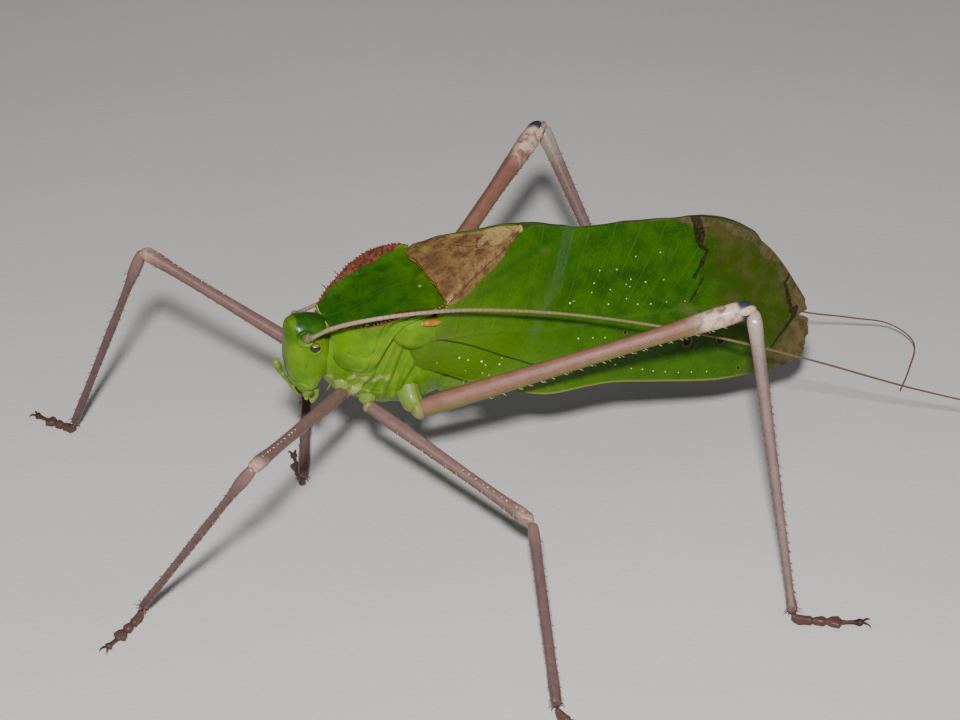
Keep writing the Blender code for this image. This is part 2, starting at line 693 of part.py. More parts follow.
def tarsus_shape(name):
    """A foot on the floor: three padded joints and the long claw joint, six-sided with flat soles."""
    pair = name.split("_")[0]
    ankle = leg_route(name)[2]
    heading = direction(STANCE[name]["foot_turn"], 0.0)
    across = np.array([-heading[1], heading[0], 0.0])
    start = np.array([ankle[0], ankle[1], 0.0]) - heading * 0.2
    length = LEG_SIZES[pair]["tarsus"]
    rings = []
    for share, half, low, high in TARSUS_PROFILE:
        spot = start + heading * length * share
        middle = (low + high) / 2
        outline = [(-0.55, low), (0.55, low), (1.0, middle), (0.55, high), (-0.55, high), (-1.0, middle)]
        rings.append(np.array([spot + across * half * w + np.array([0, 0, z]) for w, z in outline]))
    points, faces = skin_of(rings)
    tip = start + heading * length * 0.93
    claws = []
    for sign in (-1, 1):
        out = unit(heading + across * sign * 0.55)
        root = tip + across * sign * 0.2 + np.array([0, 0, 0.95])
        bend = root + out * length * 0.07 + np.array([0, 0, 0.15])
        end = root + out * length * 0.14 + np.array([0, 0, -0.75])
        claws.append(skin_of(tube([root, bend, end], [0.3, 0.26, 0.16], 4)))
    return (points, faces), claws


def make_leg(name):
    pair, side = name.split("_")
    sign = -1 if side == "left" else 1
    rng = random.Random(SEED + list(STANCE).index(name))
    hip, knee, ankle = leg_route(name)
    sizes = LEG_SIZES[pair]
    coxa = add_object(f"coxa_{name}", *coxa_shape(name), BRIGHT_GREEN)
    carve(coxa, thorax_blank(GAP))

    femur = add_object(f"femur_{name}", *femur_shape(name), LEG_MAUVE)
    _, outer, upper = limb_frame(hip, knee, np.array([0.0, float(sign), 0.0]))
    femur_radius = profile_radius(FEMUR_PROFILES[pair], sizes["femur_radius"])
    count = {"fore": 5, "mid": 5, "hind": 9}[pair]
    fuse(femur, spine_row(hip, knee, -upper + outer * 0.25, femur_radius, 0.42, 0.88, count, 1.1, 0.42, rng))
    carve(femur, coxa_shape(name, GAP))

    tibia = add_object(f"tibia_{name}", *tibia_shape(name), LEG_MAUVE)
    tibia_radius = profile_radius(TIBIA_PROFILES[pair], sizes["tibia_radius"])
    back = unit(np.cross(unit(ankle - knee), np.cross(unit(knee - hip), unit(ankle - knee))))
    around = unit(np.cross(unit(ankle - knee), back))
    count = {"fore": 6, "mid": 6, "hind": 11}[pair]
    thorns = spine_row(knee, ankle, back + around * 0.7, tibia_radius, 0.16, 0.95, count, 1.4, 0.4, rng)
    thorns += spine_row(knee, ankle, back - around * 0.7, tibia_radius, 0.19, 0.92, count, 1.4, 0.4, rng)
    fuse(tibia, thorns)
    carve(tibia, femur_shape(name, GAP))

    (points, faces), claws = tarsus_shape(name)
    tarsus = add_object(f"tarsus_{name}", points, faces, CLAW_DARK)
    fuse(tarsus, claws)
    carve(tarsus, tibia_shape(name, GAP))


# Head parts


def ball(centre, radius, sides=12, levels=7, squash=1.0):
    rings = []
    for k in range(1, levels):
        polar = math.pi * k / levels
        angles = np.arange(sides) * 2 * math.pi / sides
        ring = np.stack([np.cos(angles) * math.sin(polar), np.sin(angles) * math.sin(polar),
                         np.full(sides, math.cos(polar) * squash)], axis=1)
        rings.append(np.asarray(centre) + radius * ring)
    top = np.asarray(centre) + np.array([0, 0, radius * squash])
    return skin_of(rings, top, np.asarray(centre) - np.array([0, 0, radius * squash]))


def eye_shape(side, grow=0.0):
    x, y, z = EYE_PLACE
    centre = stand((x, side * y, z))[0]
    return ball(centre, EYE_RADIUS + grow, 12, 8)


def scape_shape(side, grow=0.0):
    """The feeler's stout first joint, rooted on the head beside the crown."""
    route = LEFT_FEELER if side < 0 else RIGHT_FEELER
    x, y, z = SCAPE_PLACE
    root = stand((x, side * (y - 1.6), z - 0.6))[0]
    first = place(route[0])
    second = place(route[1])
    tip = first + unit(second - first) * 1.0
    return rounded_tube([root, (root + tip) / 2, tip], [1.05, 1.05, 0.85], 8, 0.6, grow)


def feeler_lengths(side):
    """Radius and points of the whole feeler beyond its first joint."""
    route = LEFT_FEELER if side < 0 else RIGHT_FEELER
    path = smooth_route(place(route), 46)
    heading = unit(place(route[1]) - place(route[0]))
    path[0] = path[0] + heading * 1.6
    shares = np.linspace(0, 1, 46)
    radii = FEELER_TIP_RADIUS + (FEELER_RADIUS - FEELER_TIP_RADIUS) * (1 - shares) ** 1.2
    return path, radii


FEELER_PARTS = ("near", "middle", "far")


def make_feeler(side):
    word = "left" if side < 0 else "right"
    scape = add_object(f"antenna_{word}_scape", *scape_shape(side), LEG_CREAM)
    carve(scape, head_blank(GAP))
    path, radii = feeler_lengths(side)
    cuts = (0, 15, 30, 45)
    for k, part in enumerate(FEELER_PARTS):
        piece = path[cuts[k]:cuts[k + 1] + 1].copy()
        size = radii[cuts[k]:cuts[k + 1] + 1]
        if k:
            piece[0] = piece[0] + unit(piece[1] - piece[0]) * GAP
        points, faces = skin_of(tube(piece, size, 5))
        length = add_object(f"antenna_{word}_{part}", points, faces, LEG_CREAM)
        if k == 0:
            carve(length, scape_shape(side, GAP))


def make_mouth():
    """Upper lip, jaws and the jointed palps around the mouth."""
    rings = []
    for height, front, half in LIP_ROWS:
        half_ring = [(front + depth, half * width) for depth, width in ((0.0, 0.5), (0.4, 1.0), (0.9, 0.8))]
        ring = [(x, y, height) for x, y in half_ring] + [(x, -y, height) for x, y in half_ring[::-1]]
        rings.append(np.array(ring))
    points, faces = skin_of(rings)
    lip = add_object("labrum", stand(points), faces, BRIGHT_GREEN)
    carve(lip, head_blank(GAP))
    for side, word in ((-1, "left"), (1, "right")):
        jaw_route = [(x, side * y, z) for x, y, z in JAW_ROUTE]
        points, faces = rounded_tube(stand(jaw_route), [0.9, 0.85, 0.5], 6, 0.6)
        jaw = add_object(f"mandible_{word}", points, faces, LEG_CREAM)
        carve(jaw, head_blank(GAP))
        palp_route = LEFT_PALP if side < 0 else RIGHT_PALP
        count = len(palp_route)
        points, faces = rounded_tube(stand(palp_route), [0.55] + [0.5] * (count - 2) + [0.6], 6, 0.7)
        palp = add_object(f"palp_{word}", points, faces, BRIGHT_GREEN)
        carve(palp, head_blank(GAP))


def make_head():
    head = add_object("head", *head_blank(), BRIGHT_GREEN)
    carve(head, eye_shape(-1, GAP), eye_shape(1, GAP), pronotum_blank(GAP), thorax_blank(GAP))
    for side, word in ((-1, "left"), (1, "right")):
        add_object(f"eye_{word}", *eye_shape(side), EYE_DARK)
        make_feeler(side)
    make_mouth()


def make_pronotum():
    """The saddle over the fore body, with a saw-toothed keel along each side of its flat top."""
    rng = random.Random(SEED)
    saddle = add_object("pronotum", *pronotum_blank(), BRIGHT_GREEN)
    carve(saddle, thorax_blank(GAP))
    stations = np.array(PRONOTUM_ROWS)
    teeth = []
    for side in (-1, 1):
        for x in np.linspace(-19.2, 1.6, 14):
            keel = float(np.interp(x, stations[:, 0], stations[:, 1]))
            top = float(np.interp(x, stations[:, 0], stations[:, 2]))
            root = stand((x, side * (keel - 0.35), top - 0.3))[0]
            away = stand((x, side * (keel + 0.75), top + 0.55))[0] - root
            teeth.append(spine(root, away, (-0.6, 0, 0.2), rng.uniform(1.0, 1.5), 0.5))
    fuse(saddle, teeth)


def make_trunk():
    """Thorax and abdomen, with the two thorns under the neck and the tail's claspers."""
    thorax = add_object("thorax", *thorax_blank(), BRIGHT_GREEN)
    thorns = []
    for side in (-1, 1):
        root = stand((-17.2, side * 1.9, -9.0))[0]
        thorns.append(spine(root, (-0.3, side * 0.1, -1.0), (-1.0, 0, 0), 2.2, 0.6))
    fuse(thorax, thorns)

    abdomen = add_object("abdomen", *abdomen_blank(), BRIGHT_GREEN)
    plate = [(ABDOMEN_END - 3.0, 0.0, -8.6), (ABDOMEN_END + 1.5, 0.0, -8.2), (ABDOMEN_END + 5.0, 0.0, -6.8)]
    fuse(abdomen, [rounded_tube(stand(plate), [1.7, 1.4, 0.7], 8, 0.7, 0.0, 1.4)])
    for side, word in ((-1, "left"), (1, "right")):
        hook = [
            (ABDOMEN_END - 1.0, side * 2.4, -3.0), (ABDOMEN_END + 2.6, side * 3.4, -2.8),
            (ABDOMEN_END + 5.2, side * 2.6, -2.4), (ABDOMEN_END + 6.4, side * 0.9, -2.0),
        ]
        points, faces = rounded_tube(stand(hook), [0.9, 0.8, 0.6, 0.35], 6, 0.7)
        cercus = add_object(f"cercus_{word}", points, faces, BRIGHT_GREEN)
        carve(cercus, abdomen_blank(GAP))


make_trunk()
make_pronotum()
make_head()
for leg_name in STANCE:
    make_leg(leg_name)
for wing_side, wing_word in ((-1, "left"), (1, "right")):
    make_tegmen(f"tegmen_{wing_word}", wing_side)
    make_hind_wing(f"hindwing_{wing_word}", wing_side)
make_song_field("tegmen_left_song_field")
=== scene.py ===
# %% [markdown]
# # A giant katydid, standing
# This lesson dresses a model of a giant Malaysian katydid, a leaf-winged bush
# cricket as long as a hand. The plain solids come first, as a fixed frame. Every
# surface here is a formula worked out with numpy over a grid of two parameters,
# so a shape can be changed by changing one of its named values.

# %% Load the plain solids
import math

import bpy
import numpy as np
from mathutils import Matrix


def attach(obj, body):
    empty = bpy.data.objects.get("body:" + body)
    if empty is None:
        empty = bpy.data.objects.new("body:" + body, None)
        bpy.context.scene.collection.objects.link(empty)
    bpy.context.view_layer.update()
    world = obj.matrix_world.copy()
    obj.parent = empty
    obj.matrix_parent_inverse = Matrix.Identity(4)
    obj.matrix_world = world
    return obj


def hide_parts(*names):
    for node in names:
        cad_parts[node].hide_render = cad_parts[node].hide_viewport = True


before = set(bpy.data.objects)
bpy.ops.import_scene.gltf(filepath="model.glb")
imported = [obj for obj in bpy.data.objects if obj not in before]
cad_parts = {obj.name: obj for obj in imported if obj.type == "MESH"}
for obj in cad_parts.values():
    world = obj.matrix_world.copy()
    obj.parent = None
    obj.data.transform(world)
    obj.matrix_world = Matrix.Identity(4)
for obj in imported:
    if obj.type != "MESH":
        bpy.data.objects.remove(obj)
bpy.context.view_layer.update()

# %% [markdown]
# The body is drawn level in its own frame, in millimetres: x runs to the tail, y
# to the animal's right and z up. On the real animal the forebody is held higher
# than the tail, so the finished points are tilted and lifted together.

# %% From the body's frame to the standing one
MM = 0.001
BODY_HEIGHT = 46.3
BODY_TILT = math.radians(6.9)
STAND = np.array([-41.49, 13.68, 0.0])
SIDES = {"left": -1, "right": 1}


def stand(points):
    """Tilt about y by the body's angle, lift by its height, and shift over the floor."""
    points = np.asarray(points, float)
    cosine, sine = math.cos(BODY_TILT), math.sin(BODY_TILT)
    along = points[..., 0] * cosine + points[..., 2] * sine
    height = -points[..., 0] * sine + points[..., 2] * cosine + BODY_HEIGHT
    return np.stack([along, points[..., 1], height], axis=-1) + STAND


def stand_way(ways):
    """Directions tilted as the points are, without the lift and the shift."""
    return stand(ways) - stand((0, 0, 0))


print("the ridge behind the neck stands at", stand((0, 0, 22)).round(1), "mm")

# %% [markdown]
# A few small tools carry the rest of the lesson: soft steps and hills, a soft
# curve through measured values, points spaced evenly along a curve, and the
# numbering of the four corners of each face of a grid.

# %% Curves and grids


def clamp(value):
    """The value, held between 0 and 1."""
    return np.clip(value, 0, 1)


def hill(distance, width):
    """One at no distance, fading as exp(-(distance / width) squared)."""
    return np.exp(-(distance / width) ** 2)


def full_turn(count):
    """Evenly spaced angles once round."""
    return np.linspace(0, 2 * np.pi, count, endpoint=False)


def signed_power(value, power):
    """The size raised to a power, the sign kept: powers under 1 make a circle squarer."""
    return np.sign(value) * np.abs(value) ** power


def soft(at, places, values):
    """Cubic pieces through the values, each knot's slope being that of its neighbours."""
    places = np.asarray(places, float)
    values = np.asarray(values, float)
    at = np.asarray(at, float)
    slopes = np.gradient(values, places)
    i = np.clip(np.searchsorted(places, at) - 1, 0, len(places) - 2)
    step = places[i + 1] - places[i]
    t = clamp((at - places[i]) / step)
    rise = (2 * t ** 3 - 3 * t ** 2 + 1) * values[i] + (3 * t ** 2 - 2 * t ** 3) * values[i + 1]
    return rise + step * ((t ** 3 - 2 * t ** 2 + t) * slopes[i] + (t ** 3 - t ** 2) * slopes[i + 1])


def smooth_route(points, count):
    """Evenly spaced points on a curve of Catmull-Rom pieces through the given ones."""
    points = np.asarray(points, float)
    ends = np.vstack([2 * points[0] - points[1], points, 2 * points[-1] - points[-2]])
    t = np.linspace(0, 1, 24, endpoint=False)[None, :, None]
    p0, p1, p2, p3 = (ends[k:len(ends) - 3 + k, None] for k in range(4))
    fine = 2 * p1 + (p2 - p0) * t + (2 * p0 - 5 * p1 + 4 * p2 - p3) * t * t
    fine = 0.5 * (fine + (3 * p1 - p0 - 3 * p2 + p3) * t ** 3)
    fine = np.vstack([fine.reshape(-1, points.shape[1]), points[-1:]])
    steps = np.concatenate([[0], np.cumsum(np.linalg.norm(np.diff(fine, axis=0), axis=1))])
    wanted = np.linspace(0, steps[-1], count)
    return np.stack([np.interp(wanted, steps, fine[:, k]) for k in range(points.shape[1])], axis=1)


def grid_quads(rows, columns, loop=False):
    """The quads of a grid numbered row by row; loop joins its last column to its first."""
    i, j = np.meshgrid(
        np.arange(rows - 1), np.arange(columns if loop else columns - 1), indexing="ij"
    )
    a = i * columns + j
    b = i * columns + (j + 1) % columns
    return np.stack([a, b, b + columns, a + columns], axis=-1).reshape(-1, 4)


def unit(vector):
    """The same direction, one unit long."""
    vector = np.asarray(vector, float)
    return vector / np.linalg.norm(vector, axis=-1, keepdims=True)


def square_to(vector, way):
    """The part of a vector that is square to a way, one unit long."""
    return unit(vector - way * np.dot(vector, way))


def bump(points, centre, radius):
    """A round hill: one at the centre, fading as exp(-(distance / radius) squared)."""
    away = (points - np.asarray(centre, float)) / np.asarray(radius, float)
    return np.exp(-np.sum(away ** 2, axis=-1))


def mirrored(points, side):
    """The points with y turned to the given side: -1 for the left, 1 for the right."""
    return np.array(points) * [1, side, 1]


def line_distance(points, line):
    """The distance from each point to the nearest stretch of a line of straight pieces."""
    line = np.asarray(line, float)
    best = np.full(points.shape[:-1], 1e9)
    for a, b in zip(line[:-1], line[1:]):
        share = clamp(((points - a) @ (b - a)) / np.dot(b - a, b - a))
        best = np.minimum(best, np.linalg.norm(points - a - share[..., None] * (b - a), axis=-1))
    return best


def near_line(points, line, width):
    """A ridge along a line: one on it, fading with the distance from it."""
    return hill(line_distance(points, line), width)


def add_bumps(field, points, table):
    """The field with a round hill added for each height, centre and radius of a table."""
    for height, centre, radius in table:
        field = field + height * bump(points, centre, radius)
    return field


print("a 3 by 4 grid has", len(grid_quads(3, 4)), "quads")

# %% [markdown]
# A shell is a set of points with its four-sided and three-sided faces. Shells can
# be joined into one piece, and each is turned so that its faces look outwards: the
# sign of the volume that its triangles enclose tells which way it faces.

# %% Shells, and pieces made from them


def enclosed_volume(points, quads, triangles):
    """The sum over the faces of a . (b x c) / 6, positive where the faces look out."""
    corners = np.vstack([quads[:, [0, 1, 2]], quads[:, [0, 2, 3]], triangles])
    a, b, c = (points[corners[:, k]] for k in range(3))
    return float(np.einsum("ij,ij->i", a, np.cross(b, c)).sum() / 6)


def shell(points, quads, triangles=None, marks=None):
    """Points, faces and marks of one closed form, its faces turned outwards."""
    points = np.asarray(points, float)
    triangles = np.zeros((0, 3), int) if triangles is None else np.asarray(triangles, int)
    quads = np.asarray(quads, int).reshape(-1, 4)
    if enclosed_volume(points - points.mean(axis=0), quads, triangles) < 0:
        quads = quads[:, ::-1]
        triangles = triangles[:, ::-1]
    return {"points": points, "quads": quads, "triangles": triangles, "marks": marks or {}}


def join_shells(shells):
    """One shell of all the given ones, each numbering moved on by the points before it."""
    starts = np.cumsum([0] + [len(s["points"]) for s in shells[:-1]])
    names = {name for s in shells for name in s["marks"]}
    marks = {
        name: np.concatenate([
            np.broadcast_to(s["marks"].get(name, 0.0), len(s["points"])) for s in shells
        ])
        for name in names
    }
    return {
        "points": np.vstack([s["points"] for s in shells]),
        "quads": np.vstack([s["quads"] + start for s, start in zip(shells, starts)]),
        "triangles": np.vstack([s["triangles"] + start for s, start in zip(shells, starts)]),
        "marks": marks
    }


def make_piece(name, form, material, replaces=()):
    """A smooth mesh object from a shell in millimetres, riding on the still body."""
    mesh = bpy.data.meshes.new(name)
    faces = form["quads"].tolist() + form["triangles"].tolist()
    mesh.from_pydata((form["points"] * MM).tolist(), [], faces)
    mesh.polygons.foreach_set("use_smooth", np.ones(len(faces), bool))
    for mark, values in form["marks"].items():
        layer = mesh.attributes.new(mark, "FLOAT", "POINT")
        layer.data.foreach_set("value", np.ascontiguousarray(values, dtype=np.float32))
    mesh.materials.append(material)
    mesh.update()
    piece = bpy.data.objects.new(name, mesh)
    bpy.context.scene.collection.objects.link(piece)
    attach(piece, "root")
    if replaces:
        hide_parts(*replaces)
    print(f"{name}: {len(form['quads']) * 2 + len(form['triangles'])} triangles")


# %% [markdown]
# Two general forms follow. Most limbs are a ring carried along a route, closed at
# both ends. Thorns are many small cones, worked out all at once as one array.

# %% Rings along a route, and crowds of thorns


def spokes_round(side, over, sides):
    """cos t side + sin t over at evenly spaced turns t, for each side and over."""
    turn = full_turn(sides)
    return np.cos(turn)[:, None] * side[:, None] + np.sin(turn)[:, None] * over[:, None]


def end_caps(rows, sides):
    """Triangles that close the first and last ring on two points numbered after the rings."""
    k = np.arange(sides)
    after = (k + 1) % sides
    first, last = rows * sides, (rows - 1) * sides
    return np.vstack([
        np.stack([np.full(sides, first), after, k], axis=1),
        np.stack([np.full(sides, first + 1), last + k, last + after], axis=1)
    ])


def crowd(points, rows, sides, marks=None):
    """Many forms of rows and sides as one shell; points holds one list of points for each."""
    shift = (np.arange(len(points)) * points.shape[1])[:, None, None]
    quads = (grid_quads(rows, sides, loop=True)[None] + shift).reshape(-1, 4)
    triangles = (end_caps(rows, sides)[None] + shift).reshape(-1, 3)
    return shell(points.reshape(-1, 3), quads, triangles, marks)


def carry(route, radius, sides, reference, marks=None, body=False):
    """Rings of centre + radius (cos t side + sin t over), both square to the way ahead.

    The mark above is the height of each ring's spoke, 1 on top and -1 below.
    """
    route = np.asarray(route, float)
    ahead = unit(np.gradient(route, axis=0))
    side = unit(np.cross(ahead, np.asarray(reference, float)))
    over = np.cross(side, ahead)
    radius = np.broadcast_to(np.asarray(radius, float).reshape(len(route), -1), (len(route), sides))
    spokes = spokes_round(side, over, sides)
    rings = route[:, None] + radius[:, :, None] * spokes
    points = np.vstack([rings.reshape(-1, 3), route[:1], route[-1:]])
    steps = np.concatenate([[0], np.cumsum(np.linalg.norm(np.diff(route, axis=0), axis=1))])
    along = np.concatenate([np.repeat(steps / steps[-1], sides), [0, 1]])
    above = np.concatenate([spokes[..., 2].ravel(), [0, 0]])
    all_marks = {"along": along, "above": above}
    all_marks.update(marks or {})
    if body:
        points = stand(points)
    return shell(
        points, grid_quads(len(route), sides, loop=True), end_caps(len(route), sides), all_marks
    )


def rounded_steps(length, radius_start, radius_end, count):
    """Distances along a limb, dense near its ends, and a factor that rounds the ends off."""
    ends = np.array([0.02, 0.12, 0.3, 0.55, 0.85])
    start = ends * radius_start
    end = length - ends[::-1] * radius_end
    steps = np.concatenate([start, np.linspace(start[-1], end[0], count + 2)[1:-1], end])
    near = clamp(np.minimum(steps / radius_start, (length - steps) / radius_end))
    return steps, np.sqrt(1 - (1 - near) ** 2)


def limb(a, b, shares, sizes, sides, reference, count=60, ridges=0.0, start_round=None, body=False):
    """A straight limb, its radius a profile of shares and sizes; ridges adds four long edges."""
    a, b = np.asarray(a, float), np.asarray(b, float)
    length = float(np.linalg.norm(b - a))
    steps, factor = rounded_steps(length, start_round or sizes[0], sizes[-1], count)
    turn = full_turn(sides)
    radius = soft(steps / length, shares, sizes) * factor
    across = 1 + ridges * np.cos(4 * turn + math.pi)
    route = a + (b - a) * (steps / length)[:, None]
    return carry(route, radius[:, None] * across[None], sides, reference, body=body)


def thorns(roots, aheads, leans, lengths, radii, sides=6, rings=6, bend=0.35):
    """Curved cones of length L: centre = root + L (ahead (1.12 t - 0.12) + lean bend t squared)."""
    roots, aheads, leans = np.asarray(roots, float), unit(aheads), unit(leans)
    lengths, radii = np.asarray(lengths, float), np.asarray(radii, float)
    count = len(roots)
    t = np.linspace(0, 1, rings)
    centre = (
        roots[:, None]
        + lengths[:, None, None] * (
            aheads[:, None] * (t * 1.12 - 0.12)[None, :, None]
            + leans[:, None] * (bend * t ** 2)[None, :, None]
        )
    )
    side = unit(np.cross(aheads, leans + 1e-6))
    over = np.cross(side, aheads)
    size = radii[:, None] * ((1 - t) ** 0.85 * 0.94 + 0.06)[None]
    rows = centre[:, :, None] + size[:, :, None, None] * spokes_round(side, over, sides)[:, None]
    points = np.concatenate([rows.reshape(count, -1, 3), centre[:, :1], centre[:, -1:]], axis=1)
    tip = np.tile(np.concatenate([np.repeat(t, sides), [0, 1]]), count)
    return crowd(points, rings, sides, {"tip": tip})


def grid_normals(grid):
    """The unit normal at each grid point, from the differences along its two directions."""
    normal = np.cross(np.gradient(grid, axis=0), np.gradient(grid, axis=1))
    return normal / np.maximum(np.linalg.norm(normal, axis=-1, keepdims=True), 1e-12)


def leaf_shell(outer, inner, marks=None):
    """A thin closed form from its outer and inner grids, joined round their common rim."""
    rows, columns = outer.shape[:2]
    faces = grid_quads(rows, columns)
    count = rows * columns
    i = np.arange(rows)
    j = np.arange(columns)
    rim = np.concatenate([
        i * columns, (rows - 1) * columns + j[1:], i[:-1][::-1] * columns + columns - 1,
        j[1:-1][::-1]
    ])
    after = np.roll(rim, -1)
    edge = np.stack([after, rim, rim + count, after + count], axis=1)
    quads = np.vstack([faces, faces[:, ::-1] + count, edge])
    points = np.vstack([outer.reshape(-1, 3), inner.reshape(-1, 3)])
    doubled = {
        name: np.concatenate([values.ravel(), values.ravel()])
        for name, values in (marks or {}).items()
    }
    doubled["inside"] = np.concatenate([np.zeros(count), np.ones(count)])
    return shell(points, quads, None, doubled)


print(
    "one thorn has", len(thorns([(0, 0, 0)], [(0, 0, 1)], [(1, 0, 0)], [1], [0.2])["points"]),
    "points"
)

# %% [markdown]
# ## Camera, floor and light
# The camera looks down at the left side, as in a picture taken from a standing
# height. The light is soft, with the strongest lamp just above the lens.

# %% Camera
CAMERA_PLACE = np.array([-135.86, -374.32, 328.55]) + STAND
CAMERA_TURN = math.radians(22.29)
CAMERA_DOWN = math.radians(36.07)
FOCAL_PIXELS = 2220
PICTURE_WIDTH = 960
SENSOR_WIDTH = 36
camera_data = bpy.data.cameras.new("camera")
camera_data.lens = FOCAL_PIXELS / PICTURE_WIDTH * SENSOR_WIDTH
camera_data.sensor_width = SENSOR_WIDTH
camera = bpy.data.objects.new("camera", camera_data)
camera.location = tuple(CAMERA_PLACE * MM)
camera.rotation_euler = (math.pi / 2 - CAMERA_DOWN, 0, -CAMERA_TURN)
bpy.context.scene.collection.objects.link(camera)
bpy.context.scene.camera = camera
print("camera at", CAMERA_PLACE.round(1), "mm, lens", round(camera_data.lens, 1), "mm")

# %% Floor and lamps


def add_lamp(name, place, aim, size, power, colour=(1, 1, 1)):
    """A square area lamp in metres, turned from its place towards its aim."""
    data = bpy.data.lights.new(name, "AREA")
    data.size = size
    data.energy = power
    data.color = colour
    lamp = bpy.data.objects.new(name, data)
    lamp.location = place
    way = unit(np.array(aim, float) - np.array(place, float))
    lamp.rotation_euler = (math.acos(-way[2]), 0, math.atan2(way[1], way[0]) - math.pi / 2)
    bpy.context.scene.collection.objects.link(lamp)


KEY_PLACE = (CAMERA_PLACE + np.array([-20.0, -20.0, 120.0])) * MM
add_lamp("key", tuple(KEY_PLACE), (0.0, 0.0, 0.03), 0.04, 5.0, (1.0, 0.98, 0.95))
add_lamp("sky", (0.1, 0.1, 0.9), (0.0, 0.0, 0.0), 0.9, 0.65)
add_lamp("side", (0.75, -0.35, 0.45), (0.0, 0.0, 0.03), 0.6, 0.2, (0.95, 0.98, 1.0))

FLOOR_REACH = 3
corners = [(x * FLOOR_REACH, y * FLOOR_REACH, 0) for x, y in ((-1, -1), (1, -1), (1, 1), (-1, 1))]
floor_mesh = bpy.data.meshes.new("floor")
floor_mesh.from_pydata(corners, [], [(0, 1, 2, 3)])
floor = bpy.data.objects.new("floor", floor_mesh)
bpy.context.scene.collection.objects.link(floor)

ROOM_COLOUR = (0.93, 0.95, 1.0, 1.0)
ROOM_LIGHT = 0.07
world = bpy.data.worlds.new("studio")
world.use_nodes = True
background = world.node_tree.nodes["Background"]
background.inputs["Color"].default_value = ROOM_COLOUR
background.inputs["Strength"].default_value = ROOM_LIGHT
bpy.context.scene.world = world
print("three lamps and a dim room")

# %% [markdown]
# ## Finishes
# An insect's skin is a thin hard coat: satin, finely grained and never one flat
# colour. A few helpers keep the node trees short, and one node group gives the
# finishes of the body, legs, mouth, feeler roots and shoulder knobs the same family
# of grain and mottling.

# %% Small tools for node trees


def add_node(tree, kind, settings=None, inputs=None):
    """One node with its settings and input values; an input given a socket is linked to it."""
    made = tree.nodes.new(kind)
    for key, value in (settings or {}).items():
        setattr(made, key, value)
    for key, value in (inputs or {}).items():
        if isinstance(value, bpy.types.NodeSocket):
            tree.links.new(value, made.inputs[key])
        else:
            made.inputs[key].default_value = value
    return made


def calc(tree, operation, a, b=0.0):
    """A maths node of two values."""
    return add_node(tree, "ShaderNodeMath", {"operation": operation}, {0: a, 1: b}).outputs[0]


def times(tree, a, b):
    """The product of two values."""
    return calc(tree, "MULTIPLY", a, b)


def plus(tree, a, b):
    """The sum of two values."""
    return calc(tree, "ADD", a, b)


def minus(tree, a, b):
    """The first value less the second."""
    return calc(tree, "SUBTRACT", a, b)


def centred(tree, value, size):
    """A value from 0 to 1 made to swing about 0: (value - 0.5) size."""
    return times(tree, minus(tree, value, 0.5), size)


def reach(tree, value, low, high):
    """0 below low, 1 above high, and a smooth step between."""
    made = add_node(
        tree, "ShaderNodeMapRange", {"interpolation_type": "SMOOTHSTEP"},
        {0: value, 1: low, 2: high}
    )
    return made.outputs[0]


def blend(tree, factor, a, b):
    """A colour between a and b."""
    inputs = {
        0: factor, 6: (*a, 1.0) if isinstance(a, tuple) else a,
        7: (*b, 1.0) if isinstance(b, tuple) else b
    }
    return add_node(tree, "ShaderNodeMix", {"data_type": "RGBA"}, inputs).outputs[2]


def mark(tree, name):
    """A value stored on the mesh's points under a name."""
    return add_node(tree, "ShaderNodeAttribute", {"attribute_name": name}).outputs["Fac"]


def mask(tree, name, low, high):
    """0 where a stored value is below low, 1 above high, and a smooth step between."""
    return reach(tree, mark(tree, name), low, high)


def flow(tree, scale, detail=3.0, vector=None, rough=0.55):
    """Noise from 0 to 1, its scale in waves for each metre."""
    inputs = {"Scale": scale, "Detail": detail, "Roughness": rough}
    inputs["Vector"] = vector or add_node(tree, "ShaderNodeTexCoord").outputs["Object"]
    return add_node(tree, "ShaderNodeTexNoise", None, inputs).outputs[0]


def flat_place(tree, a, b):
    """A vector of two values."""
    return add_node(tree, "ShaderNodeCombineXYZ", None, {0: a, 1: b}).outputs[0]


def blade_place(tree):
    """The place on the blade, in millimetres along it and down it."""
    return flat_place(tree, mark(tree, "blade_x"), mark(tree, "blade_w"))


def cell_lines(tree, scale, low, high, vector):
    """1 on the borders between the cells of a Voronoi pattern, 0 inside them."""
    cells = add_node(
        tree, "ShaderNodeTexVoronoi", {"feature": "DISTANCE_TO_EDGE"},
        {"Vector": vector, "Scale": scale}
    )
    return reach(tree, cells.outputs["Distance"], low, high)


def new_finish(name, roughness, coat=0.0, specular=0.24, subsurface=0.0):
    """A material with its Principled shader, its constant values set on the shader itself."""
    material = bpy.data.materials.new(name)
    material.use_nodes = True
    shader = material.node_tree.nodes["Principled BSDF"]
    shader.inputs["Roughness"].default_value = roughness
    shader.inputs["Coat Weight"].default_value = coat
    shader.inputs["Coat Roughness"].default_value = 0.12
    shader.inputs["Specular IOR Level"].default_value = specular
    if subsurface:
        shader.inputs["Subsurface Weight"].default_value = subsurface
        shader.inputs["Subsurface Radius"].default_value = (0.5, 0.6, 0.2)
        shader.inputs["Subsurface Scale"].default_value = 0.0008
    return material, material.node_tree, shader


def press(tree, shader, height, depth_mm):
    """Feed a height to the shader's normal through a Bump node, its depth in millimetres."""
    made = add_node(
        tree, "ShaderNodeBump", None, {"Height": height, "Distance": depth_mm * MM, "Strength": 1.0}
    )
    tree.links.new(made.outputs[0], shader.inputs["Normal"])


def colour_in(tree, shader, socket):
    """Feed a colour to the shader's base colour."""
    tree.links.new(socket, shader.inputs["Base Color"])


